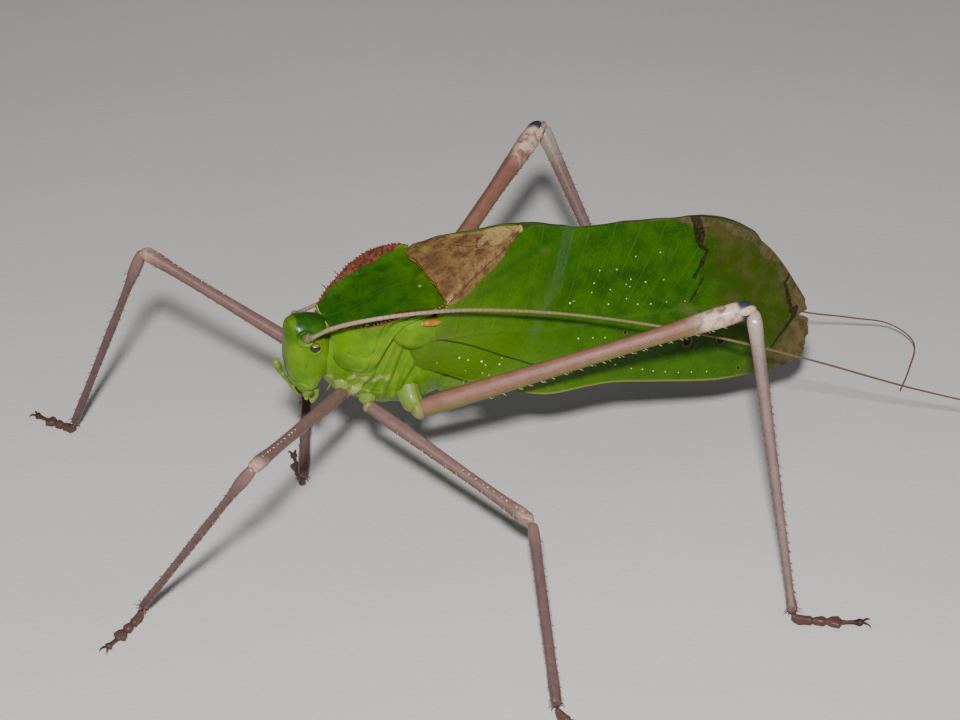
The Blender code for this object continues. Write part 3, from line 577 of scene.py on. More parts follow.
# %% The shared grain of the skin
cuticle = bpy.data.node_groups.new("cuticle", "ShaderNodeTree")
cuticle.interface.new_socket(
    "Scale", in_out="INPUT", socket_type="NodeSocketFloat"
).default_value = 1.0
cuticle.interface.new_socket("Height", in_out="OUTPUT", socket_type="NodeSocketFloat")
cuticle.interface.new_socket("Mottle", in_out="OUTPUT", socket_type="NodeSocketFloat")
entry = add_node(cuticle, "NodeGroupInput")
leave = add_node(cuticle, "NodeGroupOutput")
spot = add_node(cuticle, "ShaderNodeTexCoord").outputs["Object"]
sized = add_node(
    cuticle, "ShaderNodeVectorMath", {"operation": "SCALE"}, {0: spot, 3: entry.outputs[0]}
).outputs[0]
fine = flow(cuticle, 3800.0, 3.0, sized)
broad = flow(cuticle, 330.0, 4.0, sized)
pits = add_node(
    cuticle, "ShaderNodeTexVoronoi", None, {"Vector": sized, "Scale": 2300.0}
).outputs["Distance"]
pit_mask = reach(cuticle, pits, 0.12, 0.42)
height = plus(cuticle, times(cuticle, fine, 0.45), times(cuticle, pit_mask, 0.55))
cuticle.links.new(height, leave.inputs["Height"])
cuticle.links.new(reach(cuticle, broad, 0.3, 0.7), leave.inputs["Mottle"])


def grain(tree, scale=1.0):
    """The shared grain placed in a material: its height and its mottling."""
    placed = add_node(tree, "ShaderNodeGroup", {"node_tree": cuticle}, {"Scale": scale})
    return placed.outputs["Height"], placed.outputs["Mottle"]


floor_finish, tree, shader = new_finish("floor_finish", 0.8)
colour_in(tree, shader, blend(tree, flow(tree, 7.0, 5.0), (0.58, 0.56, 0.56), (0.70, 0.68, 0.68)))
press(tree, shader, flow(tree, 900.0, 4.0), 0.1)
floor_mesh.materials.append(floor_finish)
print("one group shared by every finish:", cuticle.name)

# %% [markdown]
# The body's green is bright and yellowish on the cheeks, the saddle's sides and
# the chest, and deep and glossy on the crown and on the saddle's flat top. One
# finish serves both: a mark on the points says how deep the green is, another how
# red the edge is, and a third how pale a fold is.

# %% The body's green
BRIGHT = (0.085, 0.205, 0.001)
YELLOW_GREEN = (0.145, 0.275, 0.001)
DEEP = (0.011, 0.068, 0.002)
KEEL_RED = (0.075, 0.014, 0.008)
PALE_FOLD = (0.36, 0.40, 0.11)

body_green, tree, shader = new_finish("body_green", 0.40, coat=0.08, subsurface=0.08)
skin_height, mottle = grain(tree)
base = blend(tree, mottle, BRIGHT, YELLOW_GREEN)
base = blend(
    tree, times(tree, reach(tree, flow(tree, 160.0, 3.0), 0.35, 0.7), 0.55), base,
    (0.048, 0.150, 0.001)
)
deep = reach(tree, plus(tree, mark(tree, "deep"), times(tree, flow(tree, 450.0), 0.45)), 0.40, 1.02)
deep_green = blend(tree, mottle, DEEP, (0.030, 0.112, 0.002))
base = blend(tree, deep, base, deep_green)
fold = reach(tree, times(tree, mark(tree, "pale"), plus(tree, flow(tree, 900.0), 0.5)), 0.35, 0.8)
base = blend(tree, fold, base, PALE_FOLD)
red_noise = centred(tree, flow(tree, 700.0, 4.0), 0.6)
red = reach(tree, plus(tree, mark(tree, "red"), red_noise), 0.4, 0.6)
red_mix = blend(
    tree, reach(tree, flow(tree, 1200.0, 4.0), 0.35, 0.65), KEEL_RED, (0.17, 0.062, 0.028)
)
base = blend(tree, red, base, red_mix)
colour_in(tree, shader, base)
press(tree, shader, skin_height, 0.035)

# %% [markdown]
# Legs are a dusty pinkish brown. Their colour changes along the limb, from green
# at the root to a swollen cream end with a blue-black joint, and round it, because
# the underside of the hind thigh stays green.

# %% Leg finishes


def leg_finish(name, top, under, end, end_from, start=None, joint=None, turn_at=(-0.5, 0.3)):
    """Speckled skin, coloured along and round the limb: under, top, start, end and joint."""
    material, tree, shader = new_finish(name, 0.42, coat=0.08, subsurface=0.06)
    skin_height, mottle = grain(tree, 1.2)
    uneven = minus(tree, flow(tree, 330.0, 3.0), 0.5)
    tone = blend(
        tree, reach(tree, plus(tree, mark(tree, "above"), times(tree, uneven, 0.9)), *turn_at),
        under, top
    )
    tone = blend(tree, times(tree, mottle, 0.45), tone, tuple(0.6 * c for c in top))
    along = mark(tree, "along")
    shifted = plus(tree, along, times(tree, uneven, 0.13))
    if start:
        tone = blend(tree, reach(tree, shifted, 0.20, 0.03), tone, start)
    tone = blend(
        tree, reach(tree, shifted, end_from - 0.02, end_from + 0.08), tone,
        blend(tree, reach(tree, flow(tree, 520.0, 4.0), 0.42, 0.68), end, top)
    )
    speck = reach(tree, flow(tree, 2300.0, 2.0), 0.52, 0.72)
    tone = blend(tree, times(tree, speck, 0.35), tone, (0.10, 0.05, 0.04))
    if joint:
        tone = blend(tree, reach(tree, along, 0.952, 0.968), tone, joint)
    colour_in(tree, shader, tone)
    press(tree, shader, skin_height, 0.03)
    return material


MAUVE = (0.205, 0.120, 0.110)
SHIN_MAUVE = (0.140, 0.085, 0.080)
MAUVE_DARK = (0.125, 0.066, 0.055)
CREAM = (0.60, 0.46, 0.36)
ROSE = (0.40, 0.25, 0.20)
RUSSET = (0.245, 0.112, 0.080)
UNDER_GREEN = (0.150, 0.165, 0.035)
hind_femur_skin = leg_finish(
    "hind_thigh_skin", RUSSET, UNDER_GREEN, CREAM, 0.81, joint=(0.030, 0.036, 0.062),
    turn_at=(-0.25, 0.35)
)
femur_skin = leg_finish("thigh_skin", MAUVE, MAUVE_DARK, ROSE, 0.90)
tibia_skin = leg_finish(
    "shin_skin", SHIN_MAUVE, (0.10, 0.055, 0.048), (0.09, 0.05, 0.045), 0.90, start=MAUVE
)
hind_tibia_skin = leg_finish(
    "hind_shin_skin", (0.205, 0.135, 0.125), (0.16, 0.11, 0.075), (0.13, 0.07, 0.06), 0.90,
    start=(0.35, 0.29, 0.24)
)
foot_skin = leg_finish(
    "foot_skin", (0.11, 0.055, 0.048), (0.08, 0.04, 0.035), (0.04, 0.02, 0.018), 0.70
)
hip_skin = leg_finish(
    "hip_skin", (0.17, 0.27, 0.035), (0.30, 0.33, 0.12), (0.26, 0.20, 0.09), 0.84,
    start=(0.12, 0.24, 0.01), turn_at=(-0.3, 0.5)
)


def thorn_finish(name, roughness, low, high, root, tip, fleck, scale=2000.0, share=0.3, coat=0.0):
    """A thorn's skin: one colour at the root, another at the tip, and flecks of a third."""
    material, tree, shader = new_finish(name, roughness, coat=coat)
    tone = blend(tree, mask(tree, "tip", low, high), root, tip)
    colour_in(tree, shader, blend(tree, times(tree, flow(tree, scale), share), tone, fleck))
    return material


thorn_skin = thorn_finish(
    "thorn_skin", 0.35, 0.35, 0.75, (0.22, 0.12, 0.09), (0.025, 0.012, 0.010), (0.30, 0.19, 0.13)
)
pale_thorn_skin = thorn_finish(
    "pale_thorn_skin", 0.35, 0.2, 0.75, (0.13, 0.15, 0.04), (0.42, 0.40, 0.22), (0.3, 0.2, 0.1)
)
keel_thorn_skin = thorn_finish(
    "keel_thorn_skin", 0.32, 0.45, 0.85, (0.10, 0.018, 0.010), (0.55, 0.42, 0.20),
    (0.2, 0.07, 0.03), 1800.0, 0.4, 0.2
)
print("leg finishes made")

# %% [markdown]
# ## Fore wings
# Each fore wing copies a leaf: a tough blade with a long rib, side veins that
# leave it at a slant, a net of fine veins, tiny white warts, and a withered brown
# edge. The blade is a function of u along the wing and v across it, laid on a
# roof that leans out from the back.

# %% The wing's outline and its roof
RIDGE_HEIGHT = 22.0
ROOF_LEAN = math.radians(22)
BLADE_COLUMNS = 360
BLADE_ROWS = 128
WING_SEEDS = {"left": 5, "right": 31}
WING_TOP = [
    (4.6, 7.2), (10.0, 4.5), (18.0, 1.0), (26.0, -2.2), (34.5, -1.3), (39.6, -0.2), (53.5, -0.2),
    (66.0, 0.2), (72.5, 1.3), (78.9, 3.8), (83.9, 6.8), (88.6, 11.1), (93.3, 17.5), (95.7, 21.5),
    (97.0, 25.0)
]
WING_RIB = [
    (-3.2, 17.5), (12.0, 18.6), (30.0, 20.6), (50.0, 20.2), (70.0, 20.6), (86.0, 24.0), (96.6, 29.6)
]
WING_FOOT = [
    (-3.4, 25.6), (4.9, 29.0), (11.7, 31.8), (20.0, 34.8), (29.5, 36.7), (37.7, 36.0), (45.7, 35.8),
    (55.6, 36.9), (69.5, 38.5), (76.6, 38.6), (87.0, 37.9), (93.2, 36.6), (95.6, 34.6)
]


def roof(x, w, down, side):
    """Out = the roof's lean + a bulge sin(pi down) + a shoulder flare - tucks at ridge and foot."""
    bulge = 1.3 * np.sin(np.pi * clamp(down)) * np.interp(x, [0, 60, 97], [1.0, 1.0, 0.3])
    flare = np.interp(x, [0.0, 4.6, 10.0, 18.0, 26.0, 36.0], [9.6, 8.4, 6.3, 3.6, 1.1, 0.0])
    meet = (
        (0.40 + np.interp(x, [18, 24, 36], [0, 0.9, 0.0])) * hill(down, 0.04)
        * np.interp(x, [20, 24, 97], [0, 1, 1])
    )
    out = 0.48 - meet + np.maximum(w, 0) * math.sin(ROOF_LEAN) + bulge + flare * (1 - down)
    out = out - np.interp(x, [-4, 4, 20, 36], [0.6, 1.5, 1.5, 0.0]) * down ** 2
    return np.stack([x, side * out, RIDGE_HEIGHT - w * math.cos(ROOF_LEAN)], axis=-1)


def blade_plan(columns, rows):
    """Places x, w from the top edge over the rib to the foot edge, and how far down each is."""
    top, rib, foot = (
        smooth_route(edge, columns)[:, None] for edge in (WING_TOP, WING_RIB, WING_FOOT)
    )
    v = np.linspace(0, 2, rows)[None, :, None]
    plan = np.where(v <= 1, top + (rib - top) * v, rib + (foot - rib) * (v - 1))
    down = (plan[..., 1] - top[..., 1]) / (foot[..., 1] - top[..., 1])
    return plan, down, np.broadcast_to(v[..., 0], down.shape)


plan, down, across = blade_plan(BLADE_COLUMNS, BLADE_ROWS)
print("blade from x", plan[..., 0].min().round(1), "to", plan[..., 0].max().round(1), "mm")

# %% [markdown]
# A side vein starts on the rib and runs towards the tip on both sides of it. Near
# the shoulder it stands almost upright, and near the tip it lies at 45 degrees. To
# know which vein a point is near, the point is followed back to the rib.

# %% Where the veins run
VEIN_SPACING = 4.9
RIB_DEPTH = 20


def vein_number(x, w):
    """Follow back to the rib, start = x - slant(start) |rib depth - w|, over the spacing."""
    start = x.copy()
    for _ in range(6):
        slant = np.where(
            w < RIB_DEPTH, np.interp(start, [0, 28, 62, 85], [0.15, 0.38, 0.95, 1.3]), 0.8
        )
        start = x - slant * np.abs(RIB_DEPTH - w)
    return start / VEIN_SPACING + 0.35


def ridge_line(value, width):
    """1 where a value meets a whole number, fading to 0 within the width."""
    off = np.abs(value - np.round(value))
    return hill(off, width)


number = vein_number(plan[..., 0], plan[..., 1])
print("side veins numbered", int(number.min()), "to", int(number.max()))

# %% [markdown]
# The blade's marks are worked out from a few named places: the withered edge, two
# cracks, small holes in the leaf, painted as a brown rim round a dark centre of
# painted shade in place of an opening, and a strong oblique fold near the shoulder.
# Distances are in millimetres along the blade and down it.

# %% Marks on the blade
CRACKS = [
    [(68.0, -0.4), (68.7, 4.1), (68.6, 6.5), (70.2, 8.0), (68.6, 10.8), (66.6, 13.4)],
    [(68.7, 14.2), (67.2, 16.3), (65.2, 18.9)]
]
TIP_TEAR = [
    (92.1, 16.3), (90.6, 17.9), (91.4, 21.1), (92.2, 24.6), (93.6, 24.1), (92.9, 25.6),
    (89.8, 28.9), (86.5, 32.8)
]
# The shoulder's oblique fold: sunk into the blade, with painted shade along it.
SHOULDER_FOLD = [(2.0, 18.0), (4.2, 18.7), (10.3, 21.4), (18.0, 25.4), (25.4, 28.6), (31.0, 30.6)]
EATEN = [(64.3, 28.1, 1.25), (73.2, 28.9, 0.75), (48.8, 24.0, 0.42), (78.0, 36.5, 0.55)]
WING_END = [WING_RIB[-1], WING_FOOT[-1]]
# A painted sheen: a band of bluish-grey reflection painted beside the pale vein A.
SHEEN = [(36.2, -1.0), (33.6, 6.3), (31.0, 12.1), (28.6, 16.0), (26.0, 22.0)]
VEIN_A = [(37.2, 0.3), (34.9, 6.3), (33.4, 9.6)]
WAVES = 12
# Soft folds on the upper blade: each is sunk a little and darkened with painted shade along it.
SHADED_FOLD_LINES = [
    [(16.0, 6.4), (23.1, 4.4), (29.7, 2.6)], [(12.0, 9.4), (17.6, 8.4), (25.6, 6.3)],
    [(26.0, 12.0), (33.0, 10.5)]
]


def rim_distance(plan):
    """Distance to the blade's upper and end edges, by straight pieces."""
    return line_distance(plan, np.vstack([smooth_route(WING_TOP, 70), WING_END]))


def wave_noise(x, y, seed, scale):
    """A smooth random field: the sum of twelve sine waves with seeded directions."""
    rng = np.random.default_rng(seed)
    total = np.zeros_like(x)
    for _ in range(WAVES):
        angle = rng.uniform(0, 2 * np.pi)
        size = scale * rng.uniform(0.5, 2.0)
        total += np.sin(
            (x * math.cos(angle) + y * math.sin(angle)) / size + rng.uniform(0, 2 * np.pi)
        )
    return total / WAVES ** 0.5 / 1.2


def blade_marks(plan, down, across, seed, brown=1.0):
    """Marks for the finish: place, vein number, dryness, cracks, holes with painted dark centres,
    folds and a crease with painted shade, a painted sheen, rosy spots with painted shade, and
    lightness.
    """
    x, w = plan[..., 0], plan[..., 1]
    edge = rim_distance(plan)
    rough = wave_noise(x, w, seed, 2.2)
    dry_width = np.interp(x, [44, 52, 60, 70, 80, 90, 97], [0.05, 0.5, 0.7, 1.6, 4.0, 4.8, 5.4])
    dry = clamp(1.15 - (edge + 1.1 * rough * np.clip(dry_width, 0.2, 1)) / dry_width) * (w < 30)
    torn = line_distance(plan, TIP_TEAR)
    beyond = (
        clamp((x - np.interp(w, [15, 18, 21, 25, 34], [93, 91, 91.4, 92, 86.0])) / 2.0) * (w > 15)
    )
    dry = np.maximum(dry, beyond * 0.75)
    crack = np.zeros_like(x)
    for line in CRACKS:
        width = (
            np.interp(w, [0, 5, 7, 10, 14, 19], [1.35, 1.2, 0.7, 0.6, 0.4, 0.28])
            * (1 + 0.55 * wave_noise(x, w, seed + 9, 0.7))
        )
        crack = np.maximum(crack, near_line(plan, line, np.maximum(width, 0.2)))
    torn_width = np.interp(w, [16, 20, 25, 33], [0.35, 0.62, 0.62, 0.30]) + 0.1 * rough ** 2
    crack = np.maximum(crack, 0.85 * hill(torn, torn_width))
    eaten = np.zeros_like(x)
    # Each hole is only painted: a brown rim round a dark centre, painted shade where the leaf would
    # be open.
    for hole_x, hole_w, size in EATEN:
        near = np.hypot(x - hole_x, (w - hole_w) * 0.85) + 0.25 * rough
        eaten = np.maximum(eaten, clamp(1.6 - near / size))
    crease = near_line(plan, SHOULDER_FOLD, 0.28)
    light = clamp(np.interp(x, [-5, 14, 36, 62], [1.25, 0.85, 0.25, 0.05]) + 0.7 * (down - 0.62))
    border = np.interp(w, [0, 6, 8, 14, 20, 30, 37], [68.4, 68.8, 69.8, 67.5, 68.0, 70.0, 72.0])
    olive = clamp((x - border + 0.4 * rough) / np.interp(w, [5, 16, 30], [1.2, 6.0, 16.0]))
    # Painted sheen along the band, plus the real pale vein A.
    sheen = near_line(plan, SHEEN, 1.3) + 0.9 * near_line(plan, VEIN_A, 0.28)
    # Painted shade along the soft folds; the same mark also sinks them.
    shaded_fold = np.zeros_like(x)
    for line in SHADED_FOLD_LINES:
        shaded_fold = np.maximum(shaded_fold, near_line(plan, line, 1.1) * (0.75 + 0.35 * rough))
    flat = np.stack([x, w], axis=-1)
    # Rosy-brown: the first hill is painted shade at the wing's root; the rest are pinkish spots.
    rosy = (
        0.8 * bump(flat, (3.4, 17.4), (3.0, 0.9)) + bump(flat, (-2.8, 24.6), (1.6, 1.5))
        + bump(flat, (29.6, 3.2), (0.9, 0.8))
    )
    rosy = (
        rosy + 0.8 * near_line(flat, [(66.6, 22.0), (62.9, 19.4)], 0.9)
        + 0.6 * bump(flat, (0.4, 26.4), (1.2, 0.6))
    )
    brown_to = np.interp(
        x, [4, 7.3, 10.1, 12.2, 15.6, 17.8, 20.6, 22.7, 25],
        [8.6, 8.6, 7.5, 5.9, 4.2, 3.0, 0.5, -1.2, -3]
    )
    tan = clamp((brown_to - w + 0.25 * rough) / 0.7 + 0.5) * brown
    return {
        "blade_x": x, "blade_w": w, "vein": vein_number(x, w), "across": across, "dry": dry,
        "crack": crack, "eaten": eaten, "crease": crease, "light": light, "olive": olive,
        "sheen": sheen, "fold": shaded_fold, "tan": tan, "high": clamp((9 - w) / 6),
        "rosy": clamp(rosy),
        "hem": clamp((across - 1.968) / 0.012) * np.interp(x, [6, 14, 74, 84], [0, 1, 1, 0])
    }


marks = blade_marks(plan, down, across, WING_SEEDS["left"])
print("dry share of the blade:", round(float((marks["dry"] > 0.5).mean()), 3))

# %% The blade's finish
WING_DEEP = (0.012, 0.062, 0.002)
WING_MID = (0.028, 0.105, 0.001)
WING_LIGHT = (0.085, 0.185, 0.002)
WING_DRY = (0.115, 0.084, 0.036)


def brown_tone(tree, place_on):
    """Withered brown in clouds, tan and purple where the marks say so, speckled all over."""
    cloud = flow(tree, 0.34, 6.0, place_on, 0.68)
    tone = blend(tree, reach(tree, cloud, 0.38, 0.60), (0.125, 0.062, 0.024), (0.25, 0.150, 0.058))
    tone = blend(
        tree, reach(tree, plus(tree, mark(tree, "pale_brown"), cloud), 0.78, 1.34), tone,
        (0.40, 0.27, 0.105)
    )
    tone = blend(
        tree, reach(tree, plus(tree, mark(tree, "purple"), cloud), 0.74, 1.05), tone,
        (0.068, 0.026, 0.017)
    )
    speckle = reach(tree, flow(tree, 2.1, 4.0, place_on), 0.52, 0.64)
    return blend(tree, times(tree, speckle, 0.55), tone, (0.050, 0.020, 0.012))


blade_green, tree, shader = new_finish("blade_green", 0.38, coat=0.05, subsurface=0.05)
place_on = blade_place(tree)
patch = flow(tree, 0.22, 4.0, place_on, 0.6)
fine_patch = flow(tree, 1.6, 3.0, place_on)
base = blend(tree, reach(tree, patch, 0.32, 0.68), WING_DEEP, WING_MID)
base = blend(tree, times(tree, mark(tree, "light"), plus(tree, fine_patch, 0.35)), base, WING_LIGHT)
net_line = cell_lines(tree, 1.15, 0.10, 0.02, place_on)
coarse_line = cell_lines(tree, 0.42, 0.06, 0.01, place_on)
base = blend(tree, times(tree, net_line, 0.14), base, WING_LIGHT)
base = blend(tree, times(tree, coarse_line, 0.14), base, (0.012, 0.07, 0.003))
wobble = plus(tree, mark(tree, "vein"), times(tree, flow(tree, 0.35, 2.0, place_on), 0.10))
vein_share = times(
    tree, mask(tree, "across", 1.1, 0.85), reach(tree, flow(tree, 0.10, 3.0, place_on), 0.34, 0.60)
)
near_vein = calc(tree, "ABSOLUTE", minus(tree, calc(tree, "FRACT", wobble), 0.5))
vein_line = reach(tree, near_vein, 0.462, 0.49)
base = blend(
    tree, times(tree, times(tree, vein_line, vein_share), 0.42), base, (0.075, 0.155, 0.030)
)
rib_line = reach(tree, calc(tree, "ABSOLUTE", minus(tree, mark(tree, "across"), 1.0)), 0.035, 0.01)
base = blend(tree, times(tree, rib_line, 0.12), base, (0.10, 0.20, 0.02))
# Painted sheen: bluish grey on the sheen band and on the pale vein A.
base = blend(
    tree, times(tree, mark(tree, "sheen"), minus(tree, times(tree, fine_patch, 1.5), 0.3)), base,
    (0.062, 0.118, 0.040)
)
# Painted shade along the soft folds.
base = blend(tree, times(tree, mark(tree, "fold"), 0.42), base, (0.008, 0.058, 0.006))
olive_mask = times(
    tree, mark(tree, "olive"), reach(tree, flow(tree, 0.16, 6.0, place_on, 0.62), 0.28, 0.50)
)
olive_tone = blend(
    tree, reach(tree, plus(tree, patch, times(tree, mark(tree, "high"), 0.25)), 0.42, 0.72),
    (0.032, 0.058, 0.003), (0.070, 0.060, 0.016)
)
base = blend(tree, times(tree, olive_mask, 0.92), base, olive_tone)
tan_mask = reach(tree, plus(tree, mark(tree, "tan"), centred(tree, fine_patch, 0.5)), 0.35, 0.65)
base = blend(tree, tan_mask, base, brown_tone(tree, place_on))
dry_edge = plus(tree, mark(tree, "dry"), centred(tree, flow(tree, 0.9, 5.0, place_on), 0.9))
dry_mask = times(
    tree, reach(tree, dry_edge, 0.30, 0.72),
    reach(tree, flow(tree, 0.30, 4.0, place_on), 0.22, 0.46)
)
streak_on = flat_place(tree, times(tree, wobble, 4.0), times(tree, mark(tree, "across"), 2.0))
streaks = plus(
    tree, times(tree, flow(tree, 0.55, 5.0, streak_on), 0.5),
    times(tree, flow(tree, 0.45, 5.0, place_on), 0.5)
)
dry_tone = blend(tree, reach(tree, streaks, 0.40, 0.62), WING_DRY, (0.048, 0.050, 0.011))
dry_ring = times(tree, reach(tree, dry_edge, 0.36, 0.44), reach(tree, dry_edge, 0.60, 0.50))
base = blend(tree, dry_mask, base, dry_tone)
base = blend(tree, times(tree, dry_ring, 0.28), base, (0.026, 0.018, 0.006))
ragged = centred(tree, flow(tree, 0.8, 5.0, place_on, 0.65), 1.5)
crack_mask = reach(tree, plus(tree, mark(tree, "crack"), ragged), 0.34, 0.52)
crack_mask = times(tree, crack_mask, mask(tree, "crack", 0.08, 0.2))
crack_tone = blend(
    tree, reach(tree, flow(tree, 1.7, 4.0, place_on), 0.45, 0.62), (0.012, 0.009, 0.004),
    (0.042, 0.026, 0.012)
)
base = blend(tree, times(tree, crack_mask, 0.92), base, crack_tone)
# Rosy-brown: pinkish spots, and painted shade at the wing's root.
base = blend(
    tree, times(tree, mark(tree, "rosy"), times(tree, fine_patch, 0.9)), base, (0.135, 0.080, 0.045)
)
base = blend(tree, times(tree, mark(tree, "hem"), 0.75), base, (0.21, 0.22, 0.035))
for name, low, high, colour in (
    ("eaten", 0.20, 0.45, (0.16, 0.10, 0.035)),
    # the hole's dark centre: painted shade in place of an opening
    ("eaten", 0.55, 0.72, (0.008, 0.010, 0.006)),
    # painted shade along the shoulder fold
    ("crease", 0.5, 0.8, (0.010, 0.045, 0.004))
):
    base = blend(tree, mask(tree, name, low, high), base, colour)
base = blend(tree, times(tree, mark(tree, "inside"), 0.5), base, (0.12, 0.20, 0.05))
colour_in(tree, shader, base)
rough_mix = plus(tree, times(tree, dry_mask, 0.25), plus(tree, times(tree, fine_patch, 0.16), 0.24))
tree.links.new(rough_mix, shader.inputs["Roughness"])
blade_height = plus(
    tree, times(tree, net_line, 0.5), times(tree, flow(tree, 5.0, 2.0, place_on), 0.5)
)
press(tree, shader, blade_height, 0.03)
print("blade finish has", len(tree.nodes), "nodes")

# %% [markdown]
# The blade itself: the plan is laid on the roof, the far edge is made ragged, and
# the outer face is raised along the rib and the side veins and sunk in the fold.

# %% Build both blades


def blade(side, seed):
    """Outer face = roof + half the thickness + relief; inner face = roof - half the thickness."""
    plan, down, across = blade_plan(BLADE_COLUMNS, BLADE_ROWS)
    u = np.linspace(0, 1, BLADE_COLUMNS)[:, None]
    marks = blade_marks(plan, down, across, seed, 1.0 if side < 0 else 0.0)
    notch = 2.6 * hill(plan[..., 1] - 25.8, 0.75)
    ragged = 0.35 * wave_noise(plan[..., 0] * 0 + 3.0, plan[..., 1] * 2.2, seed + 1, 0.8)
    pull = clamp((u - 0.955) / 0.045) ** 1.5
    plan = plan.copy()
    plan[..., 0] -= pull * (notch + ragged)
    grid = roof(plan[..., 0], plan[..., 1], down, side)
    grid[..., 1] -= (
        side * np.interp(plan[..., 1], [7, 12, 18, 26], [0.5, 1.1, 1.8, 3.0]) * hill(u, 0.022)
    )
    if side > 0:
        grid[..., 2] += (
            0.9 * hill(down, 0.05) * np.interp(plan[..., 0], [5, 9, 24, 32], [0, 1, 1, 0])
        )
    normal = grid_normals(grid)
    normal *= np.sign(np.mean(normal[..., 1]) * side)
    veins = ridge_line(marks["vein"] - 0.5, 0.055) * clamp(across * 4) * clamp((2 - across) * 4)
    rib = hill(across - 1, 0.03) * (1 - 0.5 * u)
    relief = (
        np.where(across < 1, 0.07, 0.03) * veins + 0.13 * rib - 0.20 * marks["crease"]
        - 0.08 * marks["crack"] - 0.28 * marks["fold"]
    )
    relief = relief + 0.05 * wave_noise(plan[..., 0], plan[..., 1], seed + 2, 1.1)
    relief = relief + 0.22 * marks["dry"] * wave_noise(plan[..., 0], plan[..., 1], seed + 3, 1.6)
    thick = 0.2 * np.clip(np.minimum(across, 2 - across) * 14, 0.35, 1)
    outer = grid + normal * (thick + relief)[..., None]
    inner = grid - normal * (thick - 0.5 * np.minimum(relief, 0.1))[..., None]
    return leaf_shell(stand(outer), stand(inner), marks), outer, normal


blades = {word: blade(side, WING_SEEDS[word]) for word, side in SIDES.items()}
for word, (form, _, _) in blades.items():
    make_piece(f"wing_{word}", form, blade_green, (f"tegmen_{word}",))

# %% [markdown]
# The white dots are tiny warts standing on the blade, so they are real domes: a
# few faces each, set on the outer face and joined into one piece.

# %% White warts
WARTS = [
    (35.2, 15.4, 1.5), (36.2, 15.1, 0.9), (40.7, 13.8, 0.9), (41.5, 11.7, 1), (42.9, 9.1, 1),
    (47.1, 9.5, 1.1), (45.2, 13.5, 0.9), (44.8, 16.8, 1.1), (49.2, 12.8, 0.8), (50.1, 13.6, 0.8),
    (50.5, 11.8, 1), (49.3, 16.0, 0.9), (52.0, 7.2, 0.9), (52.0, 17.6, 1.1), (54.2, 12.9, 1.1),
    (55.3, 18.0, 1.1), (58.1, 7.0, 0.9), (58.8, 12.8, 1.0), (59.3, 18.0, 0.8), (64.0, 18.4, 0.7),
    (37.0, 23.9, 1.2), (40.7, 24.1, 1), (43.7, 24.5, 1), (34.6, 31.8, 1.1), (39.5, 30.7, 0.9),
    (46.2, 31.4, 1.2), (50.5, 33.0, 1), (53.1, 33.5, 1), (55.9, 34.2, 1), (59.0, 34.8, 0.9),
    (62.3, 35.3, 0.9), (65.9, 35.7, 0.9), (69.8, 36.3, 0.9), (8.3, 24.6, 1.5), (10.6, 25.5, 1.3),
    (13.8, 26.4, 1.7), (14.9, 27.5, 1.1), (18.1, 27.7, 1.3), (18.5, 26.2, 0.8), (21.6, 30.0, 1.6),
    (14.3, 29.7, 0.9), (15.9, 30.5, 0.8), (3.3, 25.5, 0.7), (10.3, 28.5, 0.7), (28.0, 33.0, 0.9),
    (24.0, 31.6, 0.8)
]
WART_SHIFT = {"left": (0, 0, 0), "right": (1.3, 0.6, 0)}
WART_SIZE = 0.17


def domes(centres, normals, sizes, sides=8, rings=4):
    """Low domes: the ring at polar angle p is centre + size (sin p around + 0.6 cos p up)."""
    polar = np.linspace(0.12, 1.92, rings)
    side = unit(np.cross(normals, (1.0, 0.3, 0.2)))
    spokes = spokes_round(side, np.cross(side, normals), sides)
    rows = (
        centres[:, None, None]
        + sizes[:, None, None, None] * (
            np.sin(polar)[:, None, None] * spokes[:, None]
            + 0.6 * np.cos(polar)[:, None, None] * normals[:, None, None]
        )
    )
    up = (sizes[:, None] * normals)[:, None]
    points = np.concatenate(
        [
            rows.reshape(len(centres), -1, 3), centres[:, None] + 0.6 * up,
            centres[:, None] - 0.25 * up
        ],
        axis=1
    )
    return crowd(points, rings, sides)


wart_skin, tree, shader = new_finish("wart_skin", 0.4)
colour_in(tree, shader, blend(tree, flow(tree, 1500.0), (0.80, 0.84, 0.60), (0.62, 0.68, 0.32)))
for word, (_, outer, normal) in blades.items():
    warts = np.array(WARTS) + WART_SHIFT[word]
    flat = outer.reshape(-1, 3)
    height_down = (RIDGE_HEIGHT - flat[:, 2]) / math.cos(ROOF_LEAN)
    nearest = [int(np.argmin((flat[:, 0] - x) ** 2 + (height_down - w) ** 2)) for x, w, _ in warts]
    facing = unit(stand_way(normal.reshape(-1, 3)[nearest]))
    made = domes(stand(flat[nearest]), facing, WART_SIZE * warts[:, 2])
    make_piece(f"wing_warts_{word}", made, wart_skin)

# %% [markdown]
# Behind the saddle, the upper side of the left wing folds flat over the back. This
# brown triangle is the song field: a clear round mirror held in a frame of thick
# veins, which rings when the file of the one wing scrapes the other.

# %% Song field
brown_skin, tree, shader = new_finish("song_field", 0.40, coat=0.15)
place_on = blade_place(tree)
tone = brown_tone(tree, place_on)
tone = blend(tree, times(tree, mask(tree, "frame", 0.3, 0.9), 0.75), tone, (0.060, 0.024, 0.010))
tone = blend(tree, mask(tree, "margin", 0.5, 0.9), tone, (0.27, 0.135, 0.035))
tone = blend(tree, mask(tree, "spot", 0.20, 0.85), tone, (0.25, 0.195, 0.045))
colour_in(tree, shader, tone)
press(
    tree, shader, plus(tree, flow(tree, 0.5, 4.0, place_on), flow(tree, 4.0, 3.0, place_on)), 0.14
)


